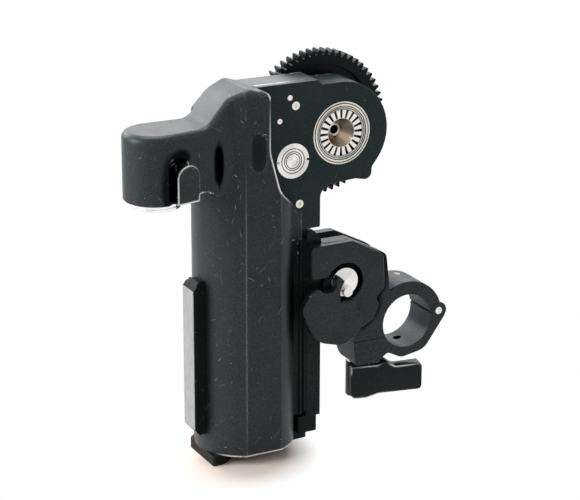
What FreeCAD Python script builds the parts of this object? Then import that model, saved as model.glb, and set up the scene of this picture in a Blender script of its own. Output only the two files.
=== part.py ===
"""Motorised follow focus unit: a lens motor with its rod bracket.

The motor stands upright on its base cap.  Millimetres, +Z up, origin on the
axis of the motor tube, in the plane it stands on.  +X runs from the tube to
the output gear, -Y is the cover side and +Y is the lens gear side.  Heights
below are taken from a datum plane DATUM above the standing plane; main()
lifts every piece by that much.
"""
import FreeCAD, Part
import math
import os

V = FreeCAD.Vector
X_AXIS = V(1, 0, 0)
Y_AXIS = V(0, 1, 0)
Z_AXIS = V(0, 0, 1)

# ---------------------------------------------------------------- sizes, mm
DATUM = 1.3                 # datum plane, above the standing plane

# motor tube
TUBE_R = 17.0
TUBE_WALL = 3.0
TUBE_FLAT_CUT = 1.25        # depth of the front flat below the round
RIM_Z = 2.1                 # lower rim of the tube
SHOULDER_TOP = 110.0        # top of the round rear half of the tube

# lens gear and output axis
OUTPUT_X = 31.9
OUTPUT_Z = 108.0
LENS_MODULE = 0.8
LENS_TEETH = 60
LENS_WIDTH = 4.6
LENS_GAP = 2.8              # from the back of the head to the lens gear

# gear head
COVER_FRONT = -9.45         # y of the cover plate's face
COVER_T = 2.5
COVER_EDGE = 0.25
HEAD_DEPTH = 12.7
BACK_WALL = 3.1
HEAD_R = 17.2               # round end about the output axis
HEAD_STEP = 1.6             # flat top, above the round end
LEG_X = -7.8                # right edge of the leg, from the output axis
LEG_DROP = 31.2             # bottom of the leg, below the output axis
BUMP_SHARE = 0.675          # stop boss at the head's lower right, in shares of HEAD_R

# connector horn
HORN_R = 10.4
HORN_REACH = 17.3           # from the tube's side to the barrel's axis
HORN_DROP = 10.0            # horn's top, below the head's top
HORN_HEIGHT = 22.8
HORN_SPLAY = 9.0            # degrees, front face against the X axis
LUG_WIDTH = 8.4
LUG_HEIGHT = 12.4
LUG_PROUD = 0.5
VALLEY_R = 4.4
VALLEY_DEPTH = 2.1
HOLLOW_R = 2.4
HOLLOW_DEPTH = 0.7
PILL_X = -1.8               # bare round-ended recess on the flat
PILL_R = 2.5
PILL_BOTTOM = 7.0           # below the output axis
PILL_HEIGHT = 12.3
PILL_DEPTH = 0.3
HORN_EDGE = 2.4             # radius of the horn's top edges
TUBE_EDGE = 2.0
SOCKET_R = 8.0
SOCKET_DEPTH = 16.0
SOCKET_PROUD = 2.2
PIN_COUNT = 12

# internal gears
TRAIN_MODULE = 0.6
TRANSFER_PINION = 18
TRANSFER_WHEEL = 28
OUTPUT_PINION = 25
OUTPUT_WHEEL = 40
BEVEL_MODULE = 0.7
BEVEL_TEETH = 12
BACKLASH = 0.08

# bearings, outer radius and the shaft that runs in them
MAIN_BEARING_R = 10.6
MAIN_RACE_R = 9.2
MAIN_INNER_R = 8.9
HUB_R = 8.1
HUB_TEETH = 20
CAP_R = 5.9
SHAFT_R = 2.4
REAR_BUSH_R = 5.0
RUN = 0.05                  # radial running clearance
FIT = 0.05                  # clearance of seated pieces

# motor and gearhead
SLEEVE_T = 1.0
MOTOR_Z0 = 14.0
MOTOR_LENGTH = 44.0
GEARHEAD_LENGTH = 24.0
DRIVE_R = 2.0

# rails and console bar
RAIL_Y = -2.2               # centre plane of both rails
RAIL_DEPTH = 4.25           # from the tube's side to a rail's outer face
RAIL_HALF = 4.25
RAIL_HEAD_T = 1.35
RAIL_Z0 = 8.5
RAIL_TOP = 62.7
BAR_LAP = 0.65              # console bar's sides, over the rail
BAR_T = 4.45
BAR_HALF = 4.9
BAR_TAPER = 0.55
BAR_TOP = 75.2
RAIL_SCREW_R = 1.5

# rod bracket
PLATE_FRONT = -10.95        # y of the front plate
RING_FRONT = -8.25          # y of the ring's front face
BRACKET_BACK = 5.55
BRACKET_TOP = 70.4
CHANNEL_FRONT = -3.5
CHANNEL_BACK = 2.3
CHANNEL_FLOOR = 50.6
SLIDE_GAP = 0.3
CAM_REACH = 7.3             # from the console bar to the cam shaft's axis
CAM_Z = 56.3
CAM_SHAFT_R = 5.0
CAM_LOBE_R = 4.2
CAM_THROW = 1.0
CAM_TAIL_R = 2.5
POCKET_R = 6.9
LEVER_T = 2.3
SHOE_T = 2.0

# rod ring and clamp
ROD_R = 9.5                 # camera support rod
ROD_FIT = 0.1
RING_R = 14.2
BORE_REACH = 33.55          # from the console bar to the rod's axis
BORE_Z = 37.1
KNUCKLE_R = 3.0
KNUCKLE_REACH = 12.85       # from the rod's axis to the hinge pin
KNUCKLE_Z = 38.7
HINGE_PIN_R = 1.3
SPLIT_GAP = 0.4
HINGE_GAP = 0.9             # parting at the hinge side
SPLIT_Z = 32.6              # clamp parting, left of the bore
JAW_REACH = 12.5            # from the console bar to the jaw's left face
JAW_BOTTOM = 24.0
SCREW_REACH = 17.8
SCREW_R = 2.5
SCREW_SLOT = 0.9            # the screw swings out of a slot this much longer
SCREW_FOOT = 14.0
SCREW_TIP = 39.0
WASHER_T = 0.8
HANDLE_BOTTOM = 11.6
HANDLE_REACH = 23.5
HANDLE_TURN = -13.6         # degrees about the screw
HANDLE_T = 4.8
HANDLE_HUB_R = 4.4
PLATE_EDGE = 0.3            # chamfer of the plates' front edges
PLUG_R = 1.3                # sealed screw in the ring's top
PAD_R = 1.4                 # blind hole in the bottom of the rod's bore
PAD_DEPTH = 1.6

# ------------------------------------------------------------ derived sizes
BORE_TUBE_R = TUBE_R - TUBE_WALL
TUBE_FLAT = TUBE_R - TUBE_FLAT_CUT
MOTOR_R = BORE_TUBE_R - SLEEVE_T
RAIL_OUT = TUBE_R + RAIL_DEPTH
BAR_IN = RAIL_OUT - BAR_LAP
BAR_OUT = RAIL_OUT + BAR_T
CAM_X = BAR_OUT + CAM_REACH
BORE_R = ROD_R + ROD_FIT
BORE_X = BAR_OUT + BORE_REACH
KNUCKLE_X = BORE_X + KNUCKLE_REACH
JAW_LEFT = BAR_OUT + JAW_REACH
SCREW_X = BAR_OUT + SCREW_REACH
HEAD_BACK = COVER_FRONT + HEAD_DEPTH
COVER_BACK = COVER_FRONT + COVER_T
CHAMBER_BACK = HEAD_BACK - BACK_WALL
HEAD_TOP_Z = OUTPUT_Z + HEAD_R + HEAD_STEP
LENS_FRONT = HEAD_BACK + LENS_GAP
LENS_BACK = LENS_FRONT + LENS_WIDTH
LENS_TIP_R = LENS_MODULE * (LENS_TEETH / 2 + 1)
GEAR_CLEAR_R = LENS_TIP_R + 1.5
HORN_X = -(TUBE_R + HORN_REACH)
HORN_Y = HEAD_BACK - HORN_R
HORN_TOP = HEAD_TOP_Z - HORN_DROP
HORN_BOTTOM = HORN_TOP - HORN_HEIGHT
LUG_X0 = HORN_X + 0.3 * HORN_R
LUG_X1 = LUG_X0 + LUG_WIDTH
LUG_TOP = HORN_BOTTOM + LUG_HEIGHT
MIDDLE_R1 = TRAIN_MODULE * (OUTPUT_PINION + OUTPUT_WHEEL) / 2
MIDDLE_R0 = TRAIN_MODULE * (TRANSFER_PINION + TRANSFER_WHEEL) / 2
MIDDLE_DROP = 7.23          # intermediate shaft, below the output axis
MIDDLE_X = OUTPUT_X - math.sqrt(MIDDLE_R1 ** 2 - MIDDLE_DROP ** 2)
MIDDLE_Z = OUTPUT_Z - MIDDLE_DROP
TRANSFER_Z = MIDDLE_Z - math.sqrt(max(MIDDLE_R0 ** 2 - MIDDLE_X ** 2, 0.0))
BEVEL_R = BEVEL_MODULE * BEVEL_TEETH / 2
BRACKET_MID = (RING_FRONT + BRACKET_BACK) / 2
PLUG_X = BORE_X + 1.6
PLUG_Y = BRACKET_MID + 3.1
PLUG_Z0 = BORE_Z + BORE_R + 1.2
PAD_X = BORE_X + 1.4
PAD_Y = BRACKET_MID + 2.0
GEARHEAD_Z0 = MOTOR_Z0 + MOTOR_LENGTH + 0.4
GEARHEAD_TOP = GEARHEAD_Z0 + GEARHEAD_LENGTH
BULKHEAD_TOP = 90.0


# ------------------------------------------------------------- small helpers
def box(x0, x1, y0, y1, z0, z1):
    return Part.makeBox(x1 - x0, y1 - y0, z1 - z0, V(x0, y0, z0))


def cyl_y(x, z, r, y0, y1):
    """Round bar along Y."""
    return Part.makeCylinder(r, y1 - y0, V(x, y0, z), Y_AXIS)


def cyl_z(x, y, r, z0, z1):
    """Round bar along Z."""
    return Part.makeCylinder(r, z1 - z0, V(x, y, z0), Z_AXIS)


def cyl_x(y, z, r, x0, x1):
    """Round bar along X."""
    return Part.makeCylinder(r, x1 - x0, V(x0, y, z), X_AXIS)


def ring_y(x, z, r_out, r_in, y0, y1):
    return cyl_y(x, z, r_out, y0, y1).cut(cyl_y(x, z, r_in, y0 - 1, y1 + 1))


def rounded_wire(corners, place):
    """Closed outline through corners (u, v) or (u, v, radius)."""
    flat = [V(c[0], c[1], 0) for c in corners]
    radii = [c[2] if len(c) > 2 else 0.0 for c in corners]
    count = len(flat)
    starts = []
    ends = []
    mids = []
    for i in range(count):
        to_last = (flat[i - 1] - flat[i]).normalize()
        to_next = (flat[(i + 1) % count] - flat[i]).normalize()
        half = to_last.getAngle(to_next) / 2
        if radii[i] > 0:
            run = radii[i] / math.tan(half)
            bisector = (to_last + to_next).normalize()
            starts.append(flat[i] + to_last * run)
            ends.append(flat[i] + to_next * run)
            mids.append(flat[i] + bisector * (radii[i] / math.sin(half) - radii[i]))
        else:
            starts.append(flat[i])
            ends.append(flat[i])
            mids.append(None)
    edges = []
    for i in range(count):
        if mids[i] is not None:
            edges.append(Part.Arc(place(starts[i]), place(mids[i]), place(ends[i])).toShape())
        following = starts[(i + 1) % count]
        if (following - ends[i]).Length > 1e-5:
            edges.append(Part.LineSegment(place(ends[i]), place(following)).toShape())
    return Part.Wire(Part.__sortEdges__(edges))


def slab(corners, y0, y1):
    """Outline in the XZ plane, extruded along Y."""
    wire = rounded_wire(corners, lambda p: V(p.x, y0, p.y))
    return Part.Face(wire).extrude(V(0, y1 - y0, 0))


def post(corners, z0, z1):
    """Outline in the XY plane, extruded along Z."""
    wire = rounded_wire(corners, lambda p: V(p.x, p.y, z0))
    return Part.Face(wire).extrude(V(0, 0, z1 - z0))


def fuse_all(shapes):
    result = shapes[0]
    for shape in shapes[1:]:
        result = result.fuse(shape)
    return result.removeSplitter()


def cut_all(shape, tools):
    for tool in tools:
        shape = shape.cut(tool)
    return shape


def pick_edges(shape, test):
    """Edges that pass the test on their middle point and themselves."""
    chosen = []
    for edge in shape.Edges:
        middle = edge.valueAt((edge.FirstParameter + edge.LastParameter) / 2)
        if test(middle, edge):
            chosen.append(edge)
    return chosen


def round_edges(shape, radius, test):
    return shape.makeFillet(radius, pick_edges(shape, test))


def chamfer_edges(shape, size, test):
    return shape.makeChamfer(size, pick_edges(shape, test))


def polar(cx, cz, radius, angle):
    return (cx + radius * math.cos(angle), cz + radius * math.sin(angle))


# ------------------------------------------------------------------ gearing
def involute(angle):
    return math.tan(angle) - angle


def tooth_outline(teeth, module, backlash):
    """Half of one tooth, as (radius, half angle), from root to tip."""
    pressure = math.radians(20)
    pitch_r = module * teeth / 2
    base_r = pitch_r * math.cos(pressure)
    root_r = pitch_r - 1.25 * module
    tip_r = pitch_r + 0.95 * module
    half_pitch = math.pi / (2 * teeth) - backlash / (2 * pitch_r)
    outline = []
    start_r = max(base_r, root_r)
    for step in range(4):
        radius = start_r + (tip_r - start_r) * step / 3
        reach = math.acos(min(base_r / radius, 1.0))
        outline.append((radius, half_pitch + involute(pressure) - involute(reach)))
    if root_r < start_r:
        outline.insert(0, (root_r, outline[0][1]))
    return outline


def spur_gear(teeth, module, cx, cz, y0, y1, first_tooth, bore_r):
    """Spur gear about a Y axis; first_tooth is the angle of one tooth."""
    half = tooth_outline(teeth, module, BACKLASH)
    points = []
    for index in range(teeth):
        centre = first_tooth + 2 * math.pi * index / teeth
        for radius, angle in half:
            points.append(polar(cx, cz, radius, centre - angle))
        for radius, angle in reversed(half):
            points.append(polar(cx, cz, radius, centre + angle))
    loop = [V(px, y0, pz) for px, pz in points]
    face = Part.Face(Part.makePolygon(loop + [loop[0]]))
    return face.extrude(V(0, y1 - y0, 0)).cut(cyl_y(cx, cz, bore_r, y0 - 1, y1 + 1))


def bevel_gear(first_tooth, inner_share):
    """Straight mitre gear on +Z, apex at the origin, large end at z = -BEVEL_R."""
    slope = math.sqrt(2)
    pressure = math.tan(math.radians(20)) / slope
    width = math.pi * BEVEL_MODULE / 4 - BACKLASH
    tip = BEVEL_R + 0.8 * BEVEL_MODULE * slope
    root = BEVEL_R - 1.05 * BEVEL_MODULE * slope
    profile = []
    for radius in (root, BEVEL_R, tip):
        profile.append((radius, (width - (radius - BEVEL_R) * pressure) / radius))
    loops = []
    for share in (1.0, inner_share):
        points = []
        for index in range(BEVEL_TEETH):
            centre = first_tooth + 2 * math.pi * index / BEVEL_TEETH
            flank = [(r, centre - a) for r, a in profile]
            flank += [(r, centre + a) for r, a in reversed(profile)]
            for radius, angle in flank:
                px, py = polar(0, 0, radius * share, angle)
                points.append(V(px, py, -BEVEL_R * share))
        loops.append(Part.makePolygon(points + [points[0]]))
    return Part.makeLoft(loops, True, True)


# ------------------------------------------------------------------ outlines
def head_corners():
    """Right-hand outline of the gear head, clockwise from its top left."""
    bump_u = BUMP_SHARE * HEAD_R
    bump_w = -0.762 * HEAD_R
    tangent = math.acos(HEAD_R / math.hypot(bump_u, bump_w))
    turn = -(math.atan2(bump_w, bump_u) + tangent) / 2
    bump_x = OUTPUT_X + bump_u
    corners = [
        (OUTPUT_X - 8.8, HEAD_TOP_Z, 0.3),
        (OUTPUT_X - 7.4, OUTPUT_Z + HEAD_R, 0.6),
        (OUTPUT_X + HEAD_R, OUTPUT_Z + HEAD_R, HEAD_R),
        (OUTPUT_X + HEAD_R, OUTPUT_Z - HEAD_R * math.tan(turn), HEAD_R),
        (bump_x, OUTPUT_Z + bump_w, 2.5),
        (bump_x, OUTPUT_Z - HEAD_R - 0.4, 2.4),
        (bump_x - 0.36 * HEAD_R, OUTPUT_Z - HEAD_R + 0.9, 2.0),
        (OUTPUT_X + LEG_X, OUTPUT_Z - HEAD_R, 4.4),
        (OUTPUT_X + LEG_X, OUTPUT_Z - LEG_DROP, 0.5),
    ]
    return corners


def slope_corners():
    """Top line from the horn up the S-shaped slope to the head's ridge."""
    return [
        (-19.3, HORN_TOP, 6.0),
        (-11.2, HORN_TOP + 0.84 * HORN_DROP, 12.0),
        (-5.0, HEAD_TOP_Z + 1.3, 3.2),
        (-0.9, HEAD_TOP_Z, 4.0),
    ]


def raised_corners():
    """Front part that stays proud of the cover plate, left of its edge."""
    right = [
        (2.4, HEAD_TOP_Z, 2.6),
        (2.4, OUTPUT_Z - 1.5, 10.0),
        (6.2, OUTPUT_Z - 15.5, 8.0),
        (TUBE_R - 0.6, OUTPUT_Z - 24.5, 2.0),
        (TUBE_R - 0.6, -5.0),
    ]
    return [(-60, -5), (-60, HORN_TOP)] + slope_corners() + right


# ---------------------------------------------------------------- the casing
def tube_section(z0, z1, crown=0.0):
    tube = cyl_z(0, 0, TUBE_R, z0, z1)
    if crown > 0:
        tube = round_edges(tube, crown, lambda p, e: p.z > z1 - 0.1)
    flat = box(-TUBE_R, TUBE_R, -TUBE_R - 1, -TUBE_FLAT, z0 - 1, z1 + 1)
    return tube.cut(flat)


def horn_block():
    """Connector horn: barrel and web to the tube."""
    join_x = -4.0
    splay = math.radians(HORN_SPLAY)
    touch = V(HORN_X + HORN_R * math.sin(splay), HORN_Y - HORN_R * math.cos(splay), 0)
    tip = V(HORN_X - HORN_R, HORN_Y, 0)
    back = V(HORN_X, HEAD_BACK, 0)
    corners = [V(join_x, HEAD_BACK, 0), V(join_x, horn_front(join_x), 0)]
    edges = [Part.LineSegment(corners[1], touch).toShape(),
             Part.Arc(touch, tip, back).toShape(),
             Part.LineSegment(back, corners[0]).toShape(),
             Part.LineSegment(corners[0], corners[1]).toShape()]
    plan = Part.Face(Part.Wire(edges))
    plan.translate(V(0, 0, HORN_BOTTOM))
    return plan.extrude(V(0, 0, 140.0 - HORN_BOTTOM))


def horn_lug():
    """Raised arched lug on the horn's front."""
    inner = horn_front(LUG_X0) + 4
    face = post([(LUG_X0, horn_front(LUG_X0) - LUG_PROUD), (LUG_X1, horn_front(LUG_X1) - 0.02),
                 (LUG_X1, inner), (LUG_X0, inner)], HORN_BOTTOM, LUG_TOP)
    half = (LUG_X1 - LUG_X0) / 2
    arch = slab([(LUG_X0, HORN_BOTTOM), (LUG_X0, LUG_TOP, half - 0.02),
                 (LUG_X1, LUG_TOP, half - 0.02), (LUG_X1, HORN_BOTTOM)], -30, 0)
    return face.common(arch)


def horn_front(x):
    """Front plane of the horn, tangent to its barrel."""
    splay = math.radians(HORN_SPLAY)
    touch_x = HORN_X + HORN_R * math.sin(splay)
    touch_y = HORN_Y - HORN_R * math.cos(splay)
    return touch_y + (x - touch_x) * math.tan(splay)


def capsule(x, y, radius, low, high):
    """Upright round-ended cutter."""
    return fuse_all([cyl_z(x, y, radius, low, high), Part.makeSphere(radius, V(x, y, low)),
                     Part.makeSphere(radius, V(x, y, high))])


def horn_hollows():
    """Valley beside and above the lug, hollow at the tube, step behind the lug."""
    x = LUG_X0 + 1.0
    valley = capsule(x, horn_front(x) - VALLEY_R + VALLEY_DEPTH, VALLEY_R, 80.0, LUG_TOP - 0.5)
    x = 1.6 - TUBE_R
    hollow = capsule(x, horn_front(x) - HOLLOW_R + HOLLOW_DEPTH, HOLLOW_R, 99.7, 109.3)
    high = HORN_BOTTOM + 2.4
    step = slab([(LUG_X1, 80), (LUG_X1, high, 0.6), (LUG_X1 + 2.6, high, 2.0),
                 (1.5 - TUBE_R, high - 2.0), (1.5 - TUBE_R, 80)], -30, 0)
    return [valley, hollow, step]


def is_across(edge):
    """Straight edge that runs along Y."""
    line = edge.Curve.TypeId == "Part::GeomLine"
    return line and abs(edge.tangentAt(edge.FirstParameter).y) > 0.9


def top_profile():
    left = [(-60, 60), (-60, HORN_TOP)] + slope_corners()
    foot = [(TUBE_R - 1.0, OUTPUT_Z - LEG_DROP), (TUBE_R - 1.0, 60)]
    return slab(left + head_corners() + foot, -30, HEAD_BACK)


def rounded_horn():
    """Horn under the top line, its top and bottom edges rounded."""
    horn = horn_block().common(top_profile()).removeSplitter()
    top = lambda m, e: m.z > HORN_TOP - 0.3 and m.x < -4.3 and not is_across(e)
    bottom = lambda m, e: m.z < HORN_BOTTOM + 0.1 and m.x < -4.3
    horn = round_edges(horn, HORN_EDGE, top)
    return round_edges(horn, 1.0, bottom)


def rounded_tube():
    """Upper tube with its flat, the top front edge rounded."""
    profile = top_profile()
    room = box(-30, 30, HEAD_BACK, 30, 70, 150)
    tube = cyl_z(0, 0, TUBE_R, 80.0, 140.0).cut(room).common(profile).removeSplitter()
    top = lambda m, e: m.z > HORN_TOP - 0.3 and m.x < 12 and not is_across(e)
    tube = round_edges(tube, TUBE_EDGE, lambda m, e: m.y < -0.5 * TUBE_R and top(m, e))
    flat = box(-TUBE_R, TUBE_R, -TUBE_FLAT, HEAD_BACK, 80.0, 140.0).common(profile)
    flat = flat.removeSplitter()
    flat = round_edges(flat, TUBE_EDGE, lambda m, e: m.y < 0.1 - TUBE_FLAT and top(m, e))
    return tube.common(flat)


def casing_body():
    """Outer form of the casing, without bores."""
    rear = tube_section(RIM_Z, SHOULDER_TOP, 3.0)
    swing = cyl_y(OUTPUT_X, OUTPUT_Z, GEAR_CLEAR_R, HEAD_BACK, TUBE_R + 5)
    rear = rear.cut(swing)
    head = box(0, 60, COVER_FRONT, HEAD_BACK, 60, 140).common(top_profile())
    upper = fuse_all([cut_all(rounded_horn(), horn_hollows()), rounded_tube(), head, horn_lug()])
    web = post([(4, COVER_FRONT - 2.2), (TUBE_R - 0.6, COVER_FRONT - 2.2, 1.0),
                (TUBE_R - 0.6, HEAD_BACK), (4, HEAD_BACK)], 74.2, 90.0)
    body = fuse_all([rear, upper, web])
    room = box(-2, 80, -30, COVER_BACK, OUTPUT_Z - LEG_DROP, 150)
    return body.cut(room.cut(slab(raised_corners(), -31, 31)))


def gear_chamber():
    """Space for the gear train behind the cover plate."""
    floor = CHAMBER_BACK
    wheel_r = TRAIN_MODULE * (OUTPUT_WHEEL / 2 + 1) + 0.8
    middle_r = TRAIN_MODULE * (TRANSFER_WHEEL / 2 + 1) + 0.8
    first_r = BEVEL_R + 2.2
    pockets = [
        cyl_y(OUTPUT_X, OUTPUT_Z, wheel_r, COVER_BACK, floor),
        cyl_y(MIDDLE_X, MIDDLE_Z, middle_r, COVER_BACK, floor),
        cyl_y(0, TRANSFER_Z, first_r, COVER_BACK, floor),
        box(0, MIDDLE_X, COVER_BACK, floor, MIDDLE_Z - first_r, MIDDLE_Z + first_r),
        box(-first_r, first_r, COVER_BACK, first_r + 0.5, BULKHEAD_TOP, TRANSFER_Z),
        cyl_y(0, TRANSFER_Z, first_r, COVER_BACK, first_r + 0.5),
    ]
    return fuse_all(pockets)


def pill_recess():
    """Bare round-ended recess on the flat."""
    left = PILL_X - PILL_R
    right = PILL_X + PILL_R
    low = OUTPUT_Z - PILL_BOTTOM
    high = low + PILL_HEIGHT
    end = PILL_R - 0.02
    corners = [(left, low, end), (left, high, end), (right, high, end), (right, low, end)]
    return slab(corners, -TUBE_R - 1, PILL_DEPTH - TUBE_FLAT)


def motor_housing():
    casing = casing_body()
    tools = [
        cyl_z(0, 0, BORE_TUBE_R, -1, GEARHEAD_TOP + 0.5),
        cyl_z(0, 0, REAR_BUSH_R, GEARHEAD_TOP, BULKHEAD_TOP + 1),
        gear_chamber(),
        cyl_y(OUTPUT_X, OUTPUT_Z, REAR_BUSH_R + 1, CHAMBER_BACK - 1, HEAD_BACK + 1),
        cyl_y(MIDDLE_X, MIDDLE_Z, REAR_BUSH_R - 1, CHAMBER_BACK - 1, HEAD_BACK - 1),
        cyl_y(0, TRANSFER_Z, SHAFT_R + RUN, COVER_BACK - 2, COVER_BACK + 1),
        cyl_z(HORN_X, HORN_Y, SOCKET_R + FIT, HORN_BOTTOM - 1, HORN_BOTTOM + SOCKET_DEPTH),
    ]
    tools += cover_screw_holes(CHAMBER_BACK - 0.5)
    tools.append(pill_recess())
    tools += [rail_screws(side, True) for side in (-1, 1)]
    return cut_all(casing, tools)


# --------------------------------------------------------------- cover plate
# places are counted from the output axis
COVER_SCREWS = [(-17.14, HEAD_R - 6.0), (TUBE_R - 0.7 - OUTPUT_X, -22.2)]
COVER_DOWELS = [(-19.27, HEAD_R - 3.13), (-22.96, HEAD_R - 10.57)]
COVER_SCREW_R = 1.4
COVER_DOWEL_R = 0.9


def cover_screw_holes(y1):
    return [cyl_y(OUTPUT_X + u, OUTPUT_Z + w, COVER_SCREW_R + FIT, COVER_BACK - 1, y1)
            for u, w in COVER_SCREWS]


def cover_plate():
    left = [(-6.0, HEAD_TOP_Z)]
    foot = [(-6.0, OUTPUT_Z - LEG_DROP)]
    plate = slab(left + head_corners() + foot, COVER_FRONT, COVER_BACK)
    plate = chamfer_edges(plate, COVER_EDGE, lambda m, e: m.y < COVER_FRONT + 0.01 and m.x > 0)
    keep = slab(raised_corners(), -31, 31)
    plate = plate.cut(keep)
    keep.translate(V(FIT, 0, 0))
    plate = plate.cut(keep)
    tools = [
        cyl_y(OUTPUT_X, OUTPUT_Z, MAIN_BEARING_R + FIT, COVER_FRONT - 1, COVER_BACK + 1),
        cyl_y(MIDDLE_X, MIDDLE_Z, CAP_R + FIT, COVER_FRONT - 1, COVER_BACK + 1),
    ]
    for u, w in COVER_SCREWS:
        tools.append(cyl_y(OUTPUT_X + u, OUTPUT_Z + w, COVER_SCREW_R + FIT,
                           COVER_FRONT - 1, COVER_BACK + 1))
    for u, w in COVER_DOWELS:
        tools.append(cyl_y(OUTPUT_X + u, OUTPUT_Z + w, COVER_DOWEL_R + FIT,
                           COVER_FRONT - 1, COVER_BACK + 1))
    return cut_all(plate, tools)


def cover_screws():
    shapes = []
    for u, w in COVER_SCREWS:
        screw = cyl_y(OUTPUT_X + u, OUTPUT_Z + w, COVER_SCREW_R, COVER_FRONT, CHAMBER_BACK - 1)
        socket = cyl_y(OUTPUT_X + u, OUTPUT_Z + w, COVER_SCREW_R * 0.45,
                       COVER_FRONT - 1, COVER_FRONT + 0.8)
        shapes.append(screw.cut(socket))
    return Part.makeCompound(shapes)


def cover_dowels():
    shapes = []
    for u, w in COVER_DOWELS:
        shapes.append(cyl_y(OUTPUT_X + u, OUTPUT_Z + w, COVER_DOWEL_R, COVER_FRONT, COVER_BACK))
    return Part.makeCompound(shapes)


# ------------------------------------------------------- bearings and shafts
def main_bearing_race():
    """Fixed outer ring of the output bearing, with its stepped face."""
    race = ring_y(OUTPUT_X, OUTPUT_Z, MAIN_BEARING_R, MAIN_RACE_R,
                  COVER_FRONT + 0.1, COVER_BACK)
    groove = ring_y(OUTPUT_X, OUTPUT_Z, MAIN_BEARING_R - 0.45, MAIN_BEARING_R - 0.75,
                    COVER_FRONT - 1, COVER_FRONT + 0.4)
    return race.cut(groove)


def main_bearing_inner():
    """Inner ring of the output bearing, pressed on the hub."""
    ring = ring_y(OUTPUT_X, OUTPUT_Z, MAIN_INNER_R, HUB_R + FIT / 2,
                  COVER_FRONT + 0.25, COVER_BACK)
    groove = ring_y(OUTPUT_X, OUTPUT_Z, MAIN_INNER_R - 0.2, MAIN_INNER_R - 0.4,
                    COVER_FRONT - 1, COVER_FRONT + 0.5)
    return ring.cut(groove)


def middle_bearing_cap():
    """Threaded bearing cap of the intermediate shaft, with spanner notches."""
    cap = ring_y(MIDDLE_X, MIDDLE_Z, CAP_R, SHAFT_R + 4 * RUN, COVER_FRONT, COVER_BACK)
    tools = []
    for radius in (4.3, 3.3):
        tools.append(ring_y(MIDDLE_X, MIDDLE_Z, radius, radius - 0.3,
                            COVER_FRONT - 1, COVER_FRONT + 0.3))
    for side in (-1, 1):
        tools.append(box(MIDDLE_X + side * CAP_R - 0.9, MIDDLE_X + side * CAP_R + 0.9,
                         COVER_FRONT - 1, COVER_FRONT + 1.0, MIDDLE_Z - 0.4, MIDDLE_Z + 0.4))
    return cut_all(cap, tools)


def output_shaft():
    """Output shaft with its drive hub, end to end through the head."""
    hub = cyl_y(OUTPUT_X, OUTPUT_Z, HUB_R, COVER_FRONT + 0.5, COVER_BACK + 0.2)
    journal = cyl_y(OUTPUT_X, OUTPUT_Z, REAR_BUSH_R - 1.2, COVER_BACK, LENS_BACK)
    cone = Part.makeCone(4.9, 2.2, 5.0, V(OUTPUT_X, COVER_FRONT + 0.4, OUTPUT_Z), Y_AXIS)
    hole = cyl_y(OUTPUT_X, OUTPUT_Z, 1.5, COVER_FRONT, LENS_BACK + 1)
    shaft = hub.fuse(journal).cut(cone).cut(hole)
    tools = []
    for index in range(HUB_TEETH):
        angle = 2 * math.pi * index / HUB_TEETH
        tools.append(hub_slot(angle))
    return shaft.cut(Part.makeCompound(tools))


def hub_slot(angle):
    """One V groove of the serrated drive face."""
    near = 5.0
    far = HUB_R - 0.25
    wide = 0.9 * math.pi * far / HUB_TEETH / 2
    thin = wide * near / far
    face = COVER_FRONT + 0.4
    loops = []
    for radius, half in ((near, thin), (far, wide)):
        points = [V(radius, face, -half), V(radius, face, half), V(radius, face + 1.3, 0)]
        loops.append(Part.makePolygon(points + [points[0]]))
    slot = Part.makeLoft(loops, True, True)
    slot.rotate(V(0, 0, 0), Y_AXIS, math.degrees(angle))
    slot.translate(V(OUTPUT_X, 0, OUTPUT_Z))
    return slot


def output_wheel():
    toward = math.atan2(MIDDLE_Z - OUTPUT_Z, MIDDLE_X - OUTPUT_X)
    y0 = COVER_BACK + 2.3
    return spur_gear(OUTPUT_WHEEL, TRAIN_MODULE, OUTPUT_X, OUTPUT_Z, y0, CHAMBER_BACK - 0.8,
                     toward, REAR_BUSH_R - 1.2 + FIT)


def output_pinion():
    toward = math.atan2(OUTPUT_Z - MIDDLE_Z, OUTPUT_X - MIDDLE_X)
    y0 = COVER_BACK + 2.3
    return spur_gear(OUTPUT_PINION, TRAIN_MODULE, MIDDLE_X, MIDDLE_Z, y0, CHAMBER_BACK - 0.8,
                     toward + math.pi / OUTPUT_PINION, SHAFT_R + FIT)


def transfer_wheel():
    toward = math.atan2(TRANSFER_Z - MIDDLE_Z, -MIDDLE_X)
    return spur_gear(TRANSFER_WHEEL, TRAIN_MODULE, MIDDLE_X, MIDDLE_Z, COVER_BACK + 0.3,
                     COVER_BACK + 1.8, toward, SHAFT_R + FIT)


def transfer_pinion():
    toward = math.atan2(MIDDLE_Z - TRANSFER_Z, MIDDLE_X)
    return spur_gear(TRANSFER_PINION, TRAIN_MODULE, 0, TRANSFER_Z, COVER_BACK + 0.3,
                     COVER_BACK + 1.8, toward + math.pi / TRANSFER_PINION, SHAFT_R + FIT)


def middle_shaft():
    shaft = cyl_y(MIDDLE_X, MIDDLE_Z, SHAFT_R, COVER_FRONT, HEAD_BACK - 1.4)
    dimple = cyl_y(MIDDLE_X, MIDDLE_Z, SHAFT_R - 0.7, COVER_FRONT - 1, COVER_FRONT + 0.3)
    return shaft.cut(dimple)


def middle_rear_bush():
    return ring_y(MIDDLE_X, MIDDLE_Z, REAR_BUSH_R - 1 - FIT, SHAFT_R + RUN,
                  CHAMBER_BACK, HEAD_BACK - 1.1)


def output_rear_bush():
    return ring_y(OUTPUT_X, OUTPUT_Z, REAR_BUSH_R + 1 - FIT, REAR_BUSH_R - 1.2 + RUN,
                  CHAMBER_BACK, HEAD_BACK)


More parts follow.
